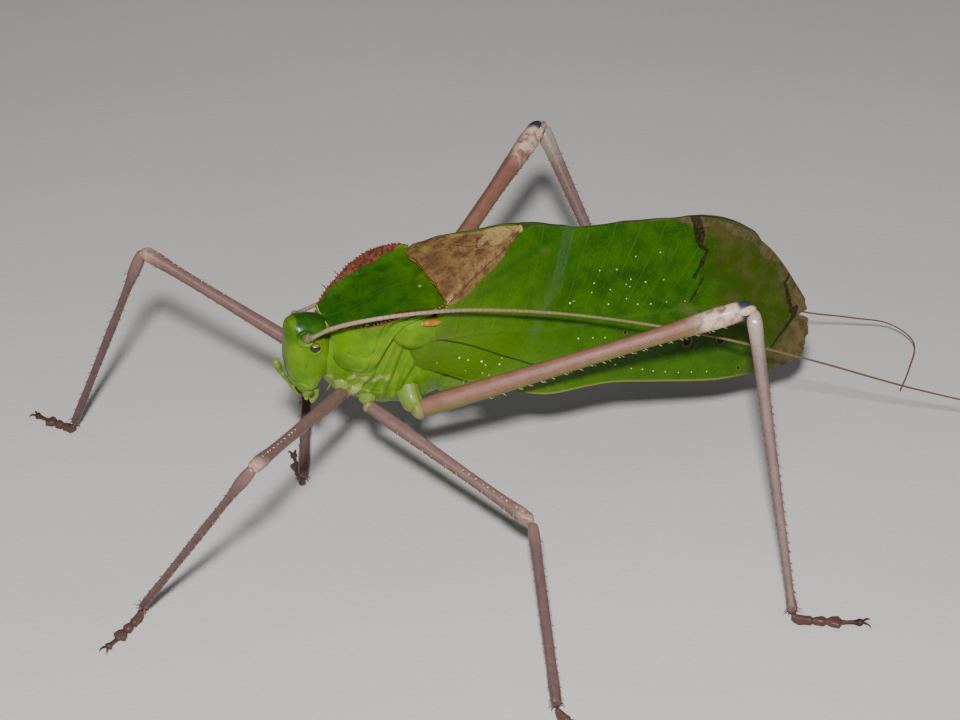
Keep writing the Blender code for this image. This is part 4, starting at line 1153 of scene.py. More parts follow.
def song_field():
    """A vault, edge + 1.1 (1 - (y / half) squared) half / 11 high, its front and sides drooping."""
    u = np.linspace(0, 1, 150)[:, None]
    v = np.linspace(-1, 1, 160)[None, :]
    front = 3.3 - 1.7 * hill(v * 11 - 6.5, 3.6) - 0.7 * hill(v * 11 + 1, 4) + 0.12 * np.sin(v * 23)
    x = front + (24.6 - front) * u
    top = smooth_route(WING_TOP, 60)
    w = np.interp(x, top[:, 0], top[:, 1])
    edge = roof(x, w, np.zeros_like(x), 1)
    half = edge[..., 1] + np.interp(x, [4, 8, 24], [-0.1, 0.35, 0.3])
    y = half * v
    side_fall = hill((1 - np.abs(v)) * half, 0.5)
    droop = 1.4 * hill(x - front, 1.0) + 0.75 * side_fall
    z = edge[..., 2] + 0.40 + 1.1 * (1 - v ** 2) * half / 11 - droop
    grid = np.stack([x, y, z], axis=-1)
    flat = np.stack([x, y], axis=-1)
    mirror = np.hypot((x - 18.6) / 3.9, (y + 0.6) / 2.8) + 0.30 * wave_noise(x, y, 73, 0.7)
    frame_vein = 0.9 * hill(mirror - 1, 0.10) * clamp((18.4 - x) / 3)
    for line in (
        [(14.9, -1.0), (12.2, 0.4), (9.8, 3.4)], [(21.4, -2.6), (22.4, -0.8), (21.8, 1.0)],
        [(21.4, -2.6), (23.4, -1.4)]
    ):
        frame_vein = np.maximum(frame_vein, 0.7 * near_line(flat, line, 0.24))
    file_vein = near_line(flat, [(9.0, 7.6), (9.8, 1.0), (9.2, -6.0)], 0.5)
    rise = (
        0.2 * frame_vein + 0.15 * file_vein - 0.2 * clamp(1 - mirror) ** 0.5
        + 0.2 * wave_noise(x, y, 71, 1.2)
    )
    upper = hill(half - y - 1.6, 1.3) * np.interp(x, [8, 12, 24], [0, 1, 1])
    marks = {
        "blade_x": x, "blade_w": w - (half + y), "frame": frame_vein,
        "pale_brown": 0.95 * clamp(1.4 - mirror) + 0.30 * bump(flat, (22.6, -0.6), (1.4, 1.2))
            + 0.62 * upper + 0.34 * bump(flat, (11.5, -3.2), (3.6, 3.4)),
        "purple": 0.38 * bump(flat, (5.0, 1.0), (4.4, 6.5))
            + 0.34 * bump(flat, (5.0, -8.0), (2.6, 2.6))
            + 0.24 * bump(flat, (13.6, 3.0), (2.8, 1.4)),
        "margin": (0.9 * hill(x - front, 0.30)) * (np.abs(v) < 0.97) + 0.5 * side_fall * (x < 9),
        "spot": 0.85 * bump(flat, (4.9, 6.2), (1.7, 1.9))
    }
    up = np.array([0.0, 0.0, 1.0])
    return leaf_shell(stand(grid + up * (0.22 + rise)[..., None]), stand(grid - 0.25 * up), marks)


make_piece("song_field", song_field(), brown_skin, ("tegmen_left_song_field",))

# %% [markdown]
# The hind wings are clear fans folded along the body under the fore wings. Their
# pleats are a triangle wave across each fan, and their tips show behind.

# %% Hind wings
PLEATS = 6
fan_skin, tree, shader = new_finish("fan_skin", 0.3, coat=0.2)
pleat_tone = blend(
    tree, reach(tree, flow(tree, 600.0), 0.35, 0.65), (0.42, 0.40, 0.22), (0.30, 0.33, 0.13)
)
colour_in(tree, shader, blend(tree, mask(tree, "vein", 0.4, 0.9), pleat_tone, (0.10, 0.12, 0.03)))


def hind_wing(side):
    """z runs from the upper to the lower edge; y steps out with it in triangular pleats."""
    x = np.linspace(8.0, 90.0, 220)[:, None]
    t = np.linspace(0, 1, 97)[None, :]
    high = np.interp(x, [8, 26, 70, 90], [11.5, 19.0, 17.5, 3.0])
    low = np.interp(x, [8, 26, 50, 62, 90], [9.6, 8.6, 6.4, -3.0, -7.0])
    z = high + (low - high) * t
    wave = np.abs((t * PLEATS) % 1 - 0.5) * 2
    y = side * (1.3 + 0.5 * wave - 0.1 + 0.16 * (high - z))
    grid = np.stack([x + 0 * t, y, z], axis=-1)
    fold = np.exp(-(((t * 2 * PLEATS) % 1 - 0.5) ** 2 / 0.01)) + 0 * x
    out = np.array([0.0, side, 0.0])
    return leaf_shell(
        stand(grid + 0.16 * out), stand(grid - 0.16 * out), {"vein": fold, "blade_x": x + 0 * t}
    )


for word, side in SIDES.items():
    make_piece(f"fan_{word}", hind_wing(side), fan_skin, (f"hindwing_{word}",))

# %% [markdown]
# ## Head
# The head stands upright, narrow from side to side. Level rings are carried down
# from the crown to the chin, then pushed in and out along the surface's own
# directions for the brows, sockets, cheeks and the grooves of the face.

# %% Head
HEAD_ROWS = [
    (7.72, -23.7, -23.5, 0.05), (7.62, -25.6, -21.9, 1.0), (7.3, -27.2, -20.6, 1.9),
    (6.5, -28.2, -19.4, 3.1), (4.7, -28.5, -18.6, 4.4), (2.0, -28.35, -18.0, 5.1),
    (-1.2, -28.1, -17.6, 5.5), (-4.4, -27.6, -18.0, 5.3), (-7.2, -26.8, -19.2, 4.6),
    (-9.4, -25.7, -20.6, 3.5), (-10.8, -24.7, -21.4, 2.5), (-11.3, -24.0, -21.9, 1.5),
    (-11.45, -23.0, -22.8, 0.05)
]
EYE = np.array([-22.9, 5.15, 2.4])
EYE_AXES = (1.12, 0.84, 0.92)
FEELER_SOCKET = np.array([-25.0, 4.2, 4.4])
HEAD_BUMPS = [
    (0.45, (-26.9, 0, 6.6), (1.5, 1.0, 1.3)), (0.5, (-22.8, 3.9, -8.4), (2.2, 1.5, 1.6)),
    (0.22, (-27.6, 2.6, -3.0), (1.6, 1.5, 3.0)), (0.25, (-26.4, 0, -8.6), (1.2, 1.6, 0.9))
]


def ring_normals(grid, middle):
    """Unit normals of a grid closed round its second direction, facing away from the middle."""
    along = np.gradient(grid, axis=0)
    round_it = (np.roll(grid, -1, axis=1) - np.roll(grid, 1, axis=1)) / 2
    normal = np.cross(along, round_it)
    normal /= np.maximum(np.linalg.norm(normal, axis=-1, keepdims=True), 1e-9)
    return normal * np.sign(np.sum(normal * (grid - middle), axis=-1, keepdims=True) + 1e-12)


def closed_rings(grid, marks, body=True):
    """A closed form from rings, each end drawn to a point at the middle of its last ring."""
    rows, sides = grid.shape[:2]
    points = np.vstack([grid.reshape(-1, 3), grid[:1].mean(axis=1), grid[-1:].mean(axis=1)])
    values = {
        name: np.concatenate([m.ravel(), [m[0].mean(), m[-1].mean()]]) for name, m in marks.items()
    }
    return shell(
        stand(points) if body else points, grid_quads(rows, sides, loop=True),
        end_caps(rows, sides), values
    )


def head_form():
    """Rings x = middle - reach cos^0.95, y = half sin^0.9, then relief along the normals."""
    rows = smooth_route(HEAD_ROWS, 190)
    angles = full_turn(220)[None, :]
    z, front, back, half = (rows[:, k][:, None] for k in range(4))
    cosine, sine = np.cos(angles), np.sin(angles)
    x = (front + back) / 2 - signed_power(cosine, 0.95) * (back - front) / 2
    y = signed_power(sine, 0.9) * half
    grid = np.stack([x, y, z + 0 * x], axis=-1)
    normal = ring_normals(grid, np.stack([(front + back) / 2, 0 * z, z], axis=-1))
    near = np.stack([x, np.abs(y), grid[..., 2]], axis=-1)
    height = grid[..., 2]
    face = clamp((-22.6 - x) / 1.5)
    eye_away = np.linalg.norm(near - EYE, axis=-1)
    socket_away = np.linalg.norm(near - FEELER_SOCKET, axis=-1)
    mouth_groove = hill(height + 7.3 - 0.6 * hill(y, 1.6), 0.22) * face
    lip_groove = hill(height + 9.7, 0.2) * face
    cheek_line = near_line(near, [(-24.0, 5.4, 0.2), (-24.7, 5.2, -3.4), (-24.9, 4.3, -7.4)], 0.22)
    rear_line = near_line(near, [(-19.2, 4.6, 4.2), (-18.9, 5.2, -1.0), (-19.6, 4.4, -6.5)], 0.3)
    relief = 0.30 * hill(eye_away - 1.4, 0.34) - 0.5 * hill(eye_away, 1.1)
    relief = relief + 0.35 * hill(socket_away - 1.45, 0.35) - 0.3 * hill(socket_away, 0.9)
    relief = add_bumps(relief, near, HEAD_BUMPS)
    relief = relief - 0.26 * mouth_groove - 0.22 * lip_groove - 0.2 * cheek_line - 0.22 * rear_line
    relief = (
        relief - 0.14 * hill(y, 0.18) * (height > 4.5)
        + 0.05 * wave_noise(height * 1.3, angles * 5, 11, 1.4)
    )
    relief = relief * clamp((7.7 - height) / 0.5) * clamp((height + 11.4) / 0.5)
    grid = grid + normal * relief[..., None]
    crown = height - soft(x, [-28.5, -26.8, -25.0, -22.9, -18.0], [6.4, 4.6, 4.5, 4.4, 4.9])
    crown = np.minimum(crown / 1.1, (x + 27.0 - 0.5 * np.clip(height - 6, 0, 2)) / 0.9)
    mottled = 0.5 + 0.6 * wave_noise(x * 1.6 + 3 * y, height * 1.6, 17, 0.5)
    brow = near_line(near, [(-24.6, 4.9, 3.4), (-23.1, 5.2, 4.0), (-21.6, 5.3, 3.4)], 0.35)
    pale = (
        0.75 * brow + 0.8 * lip_groove + 0.55 * mouth_groove
        + 0.7 * bump(near, (-28.2, 0, 2.6), (0.6, 0.5, 0.6))
    )
    pale = (
        pale + 0.5 * hill(height + 10.6, 0.5)
        + 0.75 * mottled * bump(near, (-25.8, 4.3, -2.4), (0.8, 1.4, 1.0))
    )
    pale = (
        pale + 0.9 * mottled * bump(near, (-24.4, 4.0, -5.6), (1.3, 1.6, 1.0))
        + 0.9 * mottled * bump(near, (-22.8, 3.6, -7.6), (1.6, 1.6, 0.8))
    )
    rim_line = line_distance(near, [(-17.9, 4.2, -4.6), (-19.3, 4.0, -6.7), (-20.8, 3.4, -8.6)])
    pale = pale + 0.9 * hill(rim_line, 0.45)
    brow_shade = 0.42 * clamp((-25.4 - x) / 1.2) * clamp((height - 0.5) / 3.5)
    return closed_rings(
        grid, {"deep": clamp(np.maximum(crown + 0.5, brow_shade)), "pale": clamp(pale)}
    )


make_piece("head_skin", head_form(), body_green, ("head",))

# %% [markdown]
# The eyes are small beads of tiny facets, dark with a cream cap. Over each eye
# stands the stout first joint of a feeler, and a long thread of short rings
# follows it, paler and thicker near the head.

# %% Eyes


def egg(centre, axes, rows, columns):
    """x, y, z = centre + axes times the unit ball's point at polar angle p and turn t."""
    polar = np.linspace(0.03, np.pi - 0.03, rows)[:, None]
    turn = full_turn(columns)[None, :]
    ball = np.stack(
        [np.sin(polar) * np.cos(turn), np.sin(polar) * np.sin(turn), np.cos(polar) + 0 * turn],
        axis=-1
    )
    return closed_rings(
        np.asarray(centre) + ball * np.asarray(axes),
        {"above": ball[..., 2], "ahead": -ball[..., 0]}
    )


eye_skin, tree, shader = new_finish("eye_skin", 0.16, coat=0.7)
facets = add_node(
    tree, "ShaderNodeTexVoronoi", None,
    {"Vector": add_node(tree, "ShaderNodeTexCoord").outputs["Object"], "Scale": 7500.0}
)
cap = plus(tree, mark(tree, "above"), times(tree, flow(tree, 900.0), 0.3))
dark_eye = blend(
    tree, reach(tree, flow(tree, 1500.0), 0.35, 0.65), (0.008, 0.008, 0.006), (0.035, 0.028, 0.014)
)
colour_in(tree, shader, blend(tree, reach(tree, cap, 0.55, 1.05), dark_eye, (0.22, 0.19, 0.08)))
press(tree, shader, facets.outputs["Distance"], 0.02)
for word, side in SIDES.items():
    make_piece(
        f"bead_eye_{word}", egg(mirrored(EYE, side) + [0, -0.12 * side, 0], EYE_AXES, 60, 72),
        eye_skin, (f"eye_{word}",)
    )

# %% Feelers
LEFT_FEELER = [
    (-24.2, -5.2, 54.2), (-19.6, -10.2, 59.4), (-12.2, -14.2, 62.2), (-1.0, -15.8, 62.0),
    (12.0, -14.8, 58.6), (30.0, -15.9, 53.6), (49.5, -19.6, 47.9), (66.9, -23.0, 41.6),
    (87.9, -27.0, 32.5), (115.4, -30.5, 18.8), (140.0, -33.4, 8.4), (163.0, -36.0, 2.6)
]
RIGHT_FEELER = [
    (-24.2, 5.2, 54.0), (-20.6, 9.4, 51.4), (-12.0, 14.2, 49.4), (0.1, 16.6, 48.2),
    (16.0, 17.8, 47.0), (34.0, 18.8, 45.0), (53.0, 19.4, 41.5), (72.0, 18.6, 34.5),
    (90.0, 17.6, 24.8), (107.0, 14.4, 15.0), (123.0, 13.4, 9.0), (134.0, 11.4, 5.4),
    (137.0, 4.0, 3.6), (131.0, -3.9, 2.6), (125.0, -9.9, 1.8)
]
FEELER_JOINTS = 150
FEELER_RINGS = 1200
feeler_skin, tree, shader = new_finish("feeler_skin", 0.45, coat=0.1)
joints = calc(tree, "FRACT", times(tree, mark(tree, "along"), FEELER_JOINTS))
tone = blend(
    tree,
    reach(tree, plus(tree, mark(tree, "along"), times(tree, flow(tree, 90.0), 0.12)), 0.42, 0.75),
    (0.215, 0.185, 0.085), (0.13, 0.075, 0.045)
)
tone = blend(tree, mask(tree, "along", 0.24, 0.08), tone, (0.36, 0.25, 0.19))
tone = blend(tree, times(tree, reach(tree, joints, 0.72, 0.95), 0.38), tone, (0.11, 0.06, 0.04))
colour_in(
    tree, shader,
    blend(
        tree, times(tree, reach(tree, flow(tree, 700.0), 0.5, 0.7), 0.35), tone, (0.30, 0.16, 0.10)
    )
)
scape_skin, tree, shader = new_finish("scape_skin", 0.38, coat=0.2)
skin_height, mottle = grain(tree, 1.5)
tone = blend(tree, mottle, (0.20, 0.17, 0.085), (0.135, 0.125, 0.05))
colour_in(
    tree, shader, blend(tree, reach(tree, flow(tree, 1500.0), 0.55, 0.7), tone, (0.12, 0.07, 0.04))
)
press(tree, shader, skin_height, 0.03)


def feeler(route, side):
    """A thread of joints: radius = taper(s) (1 + 0.10 phase squared), pinched where each starts."""
    points = np.asarray(route) + STAND
    heading = unit(points[1] - points[0])
    root = stand((-25.0, side * 2.7, 3.8))
    neck = points[0] + heading * 0.9
    scape = limb(
        root, neck, [0, 0.3, 0.55, 0.85, 1.0], [0.8, 1.0, 1.06, 0.92, 0.74], 36, (0.2, 0.1, 1.0), 26
    )
    collar = limb(
        neck - 0.35 * heading, neck + 1.5 * heading, [0, 0.4, 1.0], [0.72, 0.76, 0.62], 32,
        (0.2, 0.1, 1.0), 14
    )
    points[0] = neck + heading * 1.0
    path = smooth_route(points, FEELER_RINGS)
    s = np.linspace(0, 1, FEELER_RINGS)
    taper = np.interp(s, [0.0, 0.1, 0.3, 0.6, 1.0], [0.48, 0.44, 0.34, 0.25, 0.15])
    phase = (s * FEELER_JOINTS) % 1
    radius = taper * (1 + 0.10 * phase ** 2 - 0.06 * (phase < 0.13))
    thread = carry(path, radius, 9, (0.1, 0.2, 1.0))
    return scape, collar, thread


for word, route in (("left", LEFT_FEELER), ("right", RIGHT_FEELER)):
    scape, collar, thread = feeler(route, SIDES[word])
    make_piece(
        f"feeler_root_{word}", join_shells([scape, collar]), scape_skin,
        (f"antenna_{word}_scape",)
    )
    make_piece(f"feeler_{word}", thread, feeler_skin,
               (f"antenna_{word}_near", f"antenna_{word}_middle", f"antenna_{word}_far"))

# %% [markdown]
# Under the face hang the mouth's parts: an upper lip like a small shield, a pair
# of dark-edged jaws, and jointed palps that touch and taste the food.

# %% Mouth
LIP_ROWS = [
    (-9.6, -26.0, 0.9), (-9.9, -26.3, 1.25), (-10.9, -25.9, 1.65), (-11.8, -25.2, 1.55),
    (-12.4, -24.5, 1.1), (-12.65, -24.1, 0.4)
]
JAW = [(-22.6, 2.3, -9.4), (-22.9, 2.1, -11.1), (-22.8, 1.4, -12.1), (-22.6, 0.5, -12.8)]
LEFT_PALP = [(-21.2, -3.0, -9.6), (-21.1, -3.4, -11.0), (-21.6, -3.5, -12.0), (-22.4, -3.2, -12.6)]
RIGHT_PALP = [
    (-21.2, 3.4, -9.8), (-22.4, 4.0, -12.6), (-24.2, 3.6, -12.4), (-25.9, 3.2, -10.4),
    (-27.6, 3.0, -7.9), (-28.9, 3.0, -4.8)
]
SMALL_PALP = [(-22.2, 1.6, -10.4), (-22.2, 2.1, -11.4), (-22.6, 2.2, -12.2), (-23.2, 2.0, -12.7)]
PALPS = {"left": (LEFT_PALP, (0.3, 0.62), 0.85), "right": (RIGHT_PALP, (0.2, 0.45, 0.72), 1.0)}
lip_skin, tree, shader = new_finish("lip_skin", 0.40, coat=0.1, subsurface=0.1)
skin_height, mottle = grain(tree, 1.4)
tone = blend(tree, mottle, (0.085, 0.175, 0.008), (0.19, 0.27, 0.035))
tone = blend(tree, mask(tree, "tip", 0.80, 0.95), tone, (0.20, 0.25, 0.035))
colour_in(tree, shader, blend(tree, mask(tree, "dark", 0.4, 0.7), tone, (0.045, 0.015, 0.008)))
press(tree, shader, skin_height, 0.03)


def lip():
    """Level rings of a shield, thin from front to back, notched in its lower edge."""
    rows = smooth_route(LIP_ROWS, 60)
    angles = full_turn(72)[None, :]
    z, front, half = (rows[:, k][:, None] for k in range(3))
    across = np.sin(angles) * half
    x = front + 0.5 - 0.5 * np.cos(angles) + 0.35 * (across / 1.7) ** 2
    notch = 0.35 * hill(across, 0.3) * clamp((-11.8 - z) / 1.2)
    grid = np.stack([x, across, z + notch], axis=-1)
    return closed_rings(grid, {"tip": clamp((-11.4 - z) / 1.6) + 0 * x})


def jaw(side):
    """A tapering hook, dark over its last part."""
    route = smooth_route(mirrored(JAW, side), 46)
    s = np.linspace(0, 1, 46)
    form = carry(
        route, soft(s, [0, 0.1, 0.4, 0.8, 1.0], [0.2, 1.05, 1.0, 0.55, 0.1]), 28, (1.0, 0.1, 0.2),
        body=True
    )
    form["marks"]["dark"] = clamp((form["marks"]["along"] - 0.55) * 5)
    return form


def palp(route, joint_shares, girth=1.0):
    """A thin jointed tube, pinched at each joint and swollen at its tip."""
    path = smooth_route(route, 120)
    s = np.linspace(0, 1, 120)
    radius = soft(
        s, [0, 0.03, 0.3, 0.7, 0.93, 0.99, 1.0],
        [0.3 * girth, 0.56 * girth, 0.54 * girth, 0.54 * girth, 0.68 * girth, 0.44 * girth, 0.08]
    )
    for share in joint_shares:
        radius = radius * (1 - 0.3 * hill(s - share, 0.012) + 0.12 * hill(s - share + 0.03, 0.02))
    form = carry(path, radius, 24, (0.1, 1.0, 0.2), body=True)
    form["marks"]["tip"] = form["marks"]["along"] * 0.95
    return form


make_piece("lip_shield", lip(), lip_skin, ("labrum",))
for word, side in SIDES.items():
    make_piece(f"jaw_{word}", jaw(side), lip_skin, (f"mandible_{word}",))
for word, side in SIDES.items():
    small = palp(mirrored(SMALL_PALP, side), (0.35, 0.7), 0.7)
    make_piece(
        f"feeding_palp_{word}", join_shells([palp(*PALPS[word]), small]), lip_skin,
        (f"palp_{word}",)
    )

# %% [markdown]
# ## Saddle
# The saddle, or pronotum, covers the fore body. Its flat top is bounded by two
# upturned saw-toothed keels and its sides hang down as lobes. Half a section is
# drawn from the middle to the keel and on to the foot; the other half mirrors it.

# %% Saddle
SADDLE_ROWS = np.array([
    (-19.9, 4.3, 6.6, 6.3, -0.4), (-18.6, 5.6, 7.4, 7.8, -1.8), (-16.0, 8.2, 8.5, 9.3, -2.5),
    (-13.0, 10.3, 9.9, 10.0, -2.8), (-10.6, 11.7, 11.2, 10.4, -2.0), (-9.0, 12.2, 12.0, 10.6, 2.0),
    (-7.0, 12.7, 13.0, 11.0, 6.8), (-3.6, 13.4, 13.8, 11.8, 10.2), (0.2, 13.6, 14.2, 12.6, 12.2),
    (2.4, 12.8, 14.6, 12.4, 13.2), (3.4, 11.6, 14.8, 11.3, 13.6)
])
SADDLE_FRONT, SADDLE_REAR = SADDLE_ROWS[0, 0], SADDLE_ROWS[-1, 0]


def saddle_at(x):
    """Keel half width and height, flank half width, foot height and the top's sinking at x."""
    values = [soft(x, SADDLE_ROWS[:, 0], SADDLE_ROWS[:, k]) for k in (1, 2, 3, 4)]
    sink = np.interp(x, [SADDLE_FRONT, -17.5, -11.0, 0.0, SADDLE_REAR], [0.5, 1.2, 1.7, 1.5, 1.0])
    return values + [sink]


def saddle():
    """Beyond v = 0.6 the top rises by (sink + 0.2) ((v - 0.6) / 0.4) squared to the keel."""
    x = np.linspace(SADDLE_FRONT, SADDLE_REAR, 170)[:, None]
    keel, top, flank, foot, sink = saddle_at(x)
    v = np.linspace(0, 1, 70)[None, :]
    lift = clamp((v - 0.6) / 0.4) ** 2
    top_part = np.stack(
        [x + 0 * v, keel * v, top - sink + (sink + 0.2) * lift + 0.25 * (1 - v ** 2)], axis=-1
    )
    t = np.linspace(0, 1, 61)[1:]
    knots = np.array([0, 0.06, 0.16, 0.5, 0.84, 0.94, 1.0])
    drop = top - foot
    tuck = np.interp(x[:, 0], [-20, -18, -13, -9, -6, -2, 3.4], [0.6, 1.6, 2.2, 2.8, 2.4, 1.2, 0.6])
    side_y = np.stack([
        keel[:, 0], keel[:, 0] - 0.1, (keel * 0.45 + flank * 0.55)[:, 0] - 0.35, flank[:, 0] + 0.1,
        flank[:, 0] - 0.1, flank[:, 0] - 0.3 - 0.3 * tuck, flank[:, 0] - 0.3 - tuck
    ])
    side_z = np.stack([
        top[:, 0] + 0.2, top[:, 0] - 0.35, (top - np.minimum(0.16 * drop + 0.6, drop * 0.5))[:, 0],
        (top - 0.55 * drop)[:, 0], (foot + 0.12 * drop)[:, 0], (foot + 0.02 * drop)[:, 0],
        foot[:, 0]
    ])
    side_part = np.stack([
        np.stack(
            [np.full(len(t), x[i, 0]), soft(t, knots, side_y[:, i]), soft(t, knots, side_z[:, i])],
            axis=-1
        )
        for i in range(len(x))
    ])
    half = np.concatenate([top_part, side_part], axis=1)
    grid = np.concatenate([(half * [1, -1, 1])[:, :0:-1], half], axis=1)
    place = np.concatenate([v[0], 1 + t])
    place = np.concatenate([place[:0:-1], place])[None, :] + 0 * x
    number = np.interp(x, SADDLE_ROWS[:, 0], np.arange(len(SADDLE_ROWS)))
    grid[..., 0] += 0.17 * np.maximum(0, 1 - number / 3) * (top - grid[..., 2])
    gx, gy, gz = grid[..., 0], grid[..., 1], grid[..., 2]
    y = np.abs(gy)
    normal = grid_normals(grid)
    rows, columns = normal.shape[:2]
    normal *= np.sign(normal[rows // 2, columns // 2 + 1, 2] + 1e-9)
    on_top = clamp((1 - place) * 12)
    on_side = clamp((place - 1.03) * 20)
    flat = np.stack([x + 0 * gx, y], axis=-1)
    furrow = near_line(flat, [(-10.2, 0), (-10.5, 3.0), (-9.4, 5.0), (-9.0, 9.0)], 0.30) * on_top
    furrow = np.maximum(
        furrow, 0.8 * near_line(flat, [(-14.8, 0), (-14.4, 4.2), (-15.0, 6.6)], 0.28) * on_top
    )
    furrow = np.maximum(furrow, 0.45 * hill(y, 0.22) * on_top * (x > -18.5))
    side_flat = np.stack([gx, gz], axis=-1)
    for line in (
        [(-14.4, 9.0), (-15.0, 4.0), (-14.0, -1.2)],
        [(-9.6, 11.4), (-10.6, 6.0), (-12.0, 1.0), (-12.4, -1.6)],
        [(-16.8, 2.5), (-13.0, 1.6), (-11.4, 3.2)]
    ):
        furrow = np.maximum(furrow, 0.85 * near_line(side_flat, line, 0.34) * on_side)
    brim = (
        hill(x - SADDLE_FRONT, 0.7) + hill(x - SADDLE_REAR, 0.6) + hill(2 - place, 0.06) * on_side
    )
    relief = -0.26 * furrow + 0.16 * clamp(brim) + 0.10 * wave_noise(gx, gy + gz, 23, 1.5)
    relief = (
        relief + 0.35 * bump(side_flat, (-12.6, 5.0), (1.8, 2.4)) * on_side
        + 0.3 * bump(side_flat, (-16.6, 4.5), (1.4, 2.4)) * on_side
    )
    outer = grid + normal * relief[..., None]
    crest = hill(place - 1, 0.10)
    inner = grid.copy()
    inner[..., 1] *= 1 - 0.6 / np.maximum(flank, 1)
    inner[..., 2] -= 0.45 * on_top + 0.7 * crest * (1 - on_top)
    wave = 0.12 * wave_noise(gx, gz, 29, 0.8)
    width_in = (
        np.interp(x, [-20, -15, -10, -5, -2, 3.4], [0.05, 0.09, 0.17, 0.21, 0.12, 0.03])
        + 0.35 * wave
    )
    width_in = width_in + 0.10 * (gy < 0) * hill(x + 6.5, 4.5)
    red_in = clamp((place - 1 + width_in) * 14 + 0.5) * (place <= 1)
    red_out = clamp((1.10 - place) * 14 + wave) * (place > 1)
    near_end = clamp((x + 20.2) / 1.5) * np.interp(x, [-3, 1.5], [1.0, 0.55])
    spots = (
        bump(np.stack([x + 0 * gx, gy], axis=-1), (1.0, -2.4), 0.34)
        + 0.7 * bump(flat, (-1.6, 12.2), (0.7, 0.4))
    )
    pale = (
        0.9 * hill(x - SADDLE_FRONT, 0.32) * (place < 1.1) + 0.75 * hill(2 - place, 0.03)
        + 1.3 * spots * on_top
    )
    pale = pale + 0.4 * furrow * on_side
    marks = {
        "deep": clamp(on_top * np.interp(x, [-20, -8, -2, 3.4], [1.0, 0.9, 0.62, 0.55])),
        "red": clamp((red_in + red_out) * near_end + 0.42 * furrow * on_top * hill(x + 10.4, 0.8)),
        "pale": clamp(pale)
    }
    return leaf_shell(stand(outer), stand(inner), marks)


make_piece("saddle", saddle(), body_green, ("pronotum",))

# %% Teeth of the keels
KEEL_TEETH = 31
TALL_TEETH = (4, 9)


def keel_teeth():
    """Small hooked teeth from a seeded row along each keel, a few tall ones near the front."""
    rng = np.random.default_rng(3)
    roots, aheads, lengths, radii = [], [], [], []
    for side in (-1, 1):
        places = np.linspace(-19.3, 2.0, KEEL_TEETH) + rng.uniform(-0.15, 0.15, KEEL_TEETH)
        for k, x in enumerate(places):
            keel, top = (float(value) for value in saddle_at(np.array(x))[:2])
            tall = 2.2 if k in TALL_TEETH else float(rng.uniform(0.45, 0.95))
            roots.append((x, side * (keel - 0.15), top + 0.1))
            aheads.append((-0.55, side * 0.8, 0.65))
            lengths.append(tall)
            radii.append(0.30 if tall < 2 else 0.24)
    roots = stand(np.array(roots))
    aheads = stand_way(np.array(aheads))
    return thorns(
        roots, aheads, np.tile((-1.0, 0.0, 0.5), (len(roots), 1)), lengths, radii, 8, 7, 0.3
    )


make_piece("saddle_teeth", keel_teeth(), keel_thorn_skin)

shoulder_knob, tree, shader = new_finish("shoulder_knob", 0.42, coat=0.05)
skin_height, _ = grain(tree, 1.5)
knob_tone = blend(
    tree, reach(tree, flow(tree, 900.0, 4.0), 0.4, 0.62), (0.30, 0.125, 0.010), (0.40, 0.21, 0.025)
)
knob_tone = blend(tree, mask(tree, "above", -0.35, -0.7), knob_tone, (0.12, 0.04, 0.008))
colour_in(tree, shader, blend(tree, mask(tree, "ahead", 0.86, 0.97), knob_tone, (0.45, 0.38, 0.22)))
press(tree, shader, skin_height, 0.04)
for word, side in SIDES.items():
    make_piece(
        f"shoulder_knob_{word}", egg((0.2, side * 12.2, 10.2), (2.3, 0.85, 0.85), 40, 48),
        shoulder_knob
    )

# %% [markdown]
# ## Trunk
# Egg-shaped rings are carried along the body. The chest is folded into slanting
# plates above the hips; each ring of the abdomen swells towards its rear edge and
# overlaps the next one.

# %% Chest and abdomen
ABDOMEN_RINGS = 9
THORAX_ROWS = [
    (-20.5, -3.4, 2.0, 1.0, 0.1), (-20.4, -5.6, 3.2, 3.6, 0.1), (-17.6, -9.8, 5.2, 5.6, 0.12),
    (-14.0, -12.6, 6.8, 7.0, 0.12), (-9.5, -14.7, 8.6, 7.9, 0.12), (-5.0, -15.8, 9.9, 8.5, 0.1),
    (-0.5, -16.2, 10.9, 8.7, 0.08), (3.4, -16.0, 11.4, 8.4, 0.08), (6.4, -15.2, 11.0, 7.6, 0.1),
    (7.4, -14.8, 10.6, 7.0, 0.1)
]


def trunk_rings(x, low, high, half, egg, power, sides):
    """z = middle + tall cos^power, y = half sin^power (1 - egg cos): an egg wider below."""
    turn = full_turn(sides)[None, :]
    cosine, sine = np.cos(turn), np.sin(turn)
    z = (high + low) / 2 + signed_power(cosine, power) * (high - low) / 2
    y = signed_power(sine, power) * half * (1 - egg * cosine)
    grid = np.stack([x + 0 * z, y, z], axis=-1)
    return grid, ring_normals(grid, np.stack([x, 0 * x, (high + low) / 2], axis=-1)), turn


CHEST_SEAMS = [
    [(-12.6, 1.0), (-13.6, -4.0), (-15.4, -9.6)],
    [(-8.0, 5.0), (-9.4, -1.5), (-11.4, -7.0), (-12.6, -12.0)],
    [(-3.6, 3.2), (-5.0, -3.0), (-6.6, -8.6), (-6.8, -13.0)],
    [(1.2, 1.0), (-0.6, -3.6), (-2.4, -8.0)], [(5.2, 6.0), (5.6, 0.0), (4.6, -8.0)]
]
CHEST_SHOULDERS = [
    (3.4, (-2.5, 7.2), (5.5, 4.2)), (1.7, (-13.0, -2.6), (4.6, 3.0)), (1.5, (-7.6, 3.0), (2.6, 4.0))
]
CHEST_PLATES = [
    (0.5, (-10.6, -4.6), (1.3, 2.2)), (0.4, (-6.4, -5.4), (1.2, 2.4)),
    (0.45, (-2.4, -1.6), (1.6, 1.8)), (0.4, (1.6, -6.0), (1.8, 1.6))
]
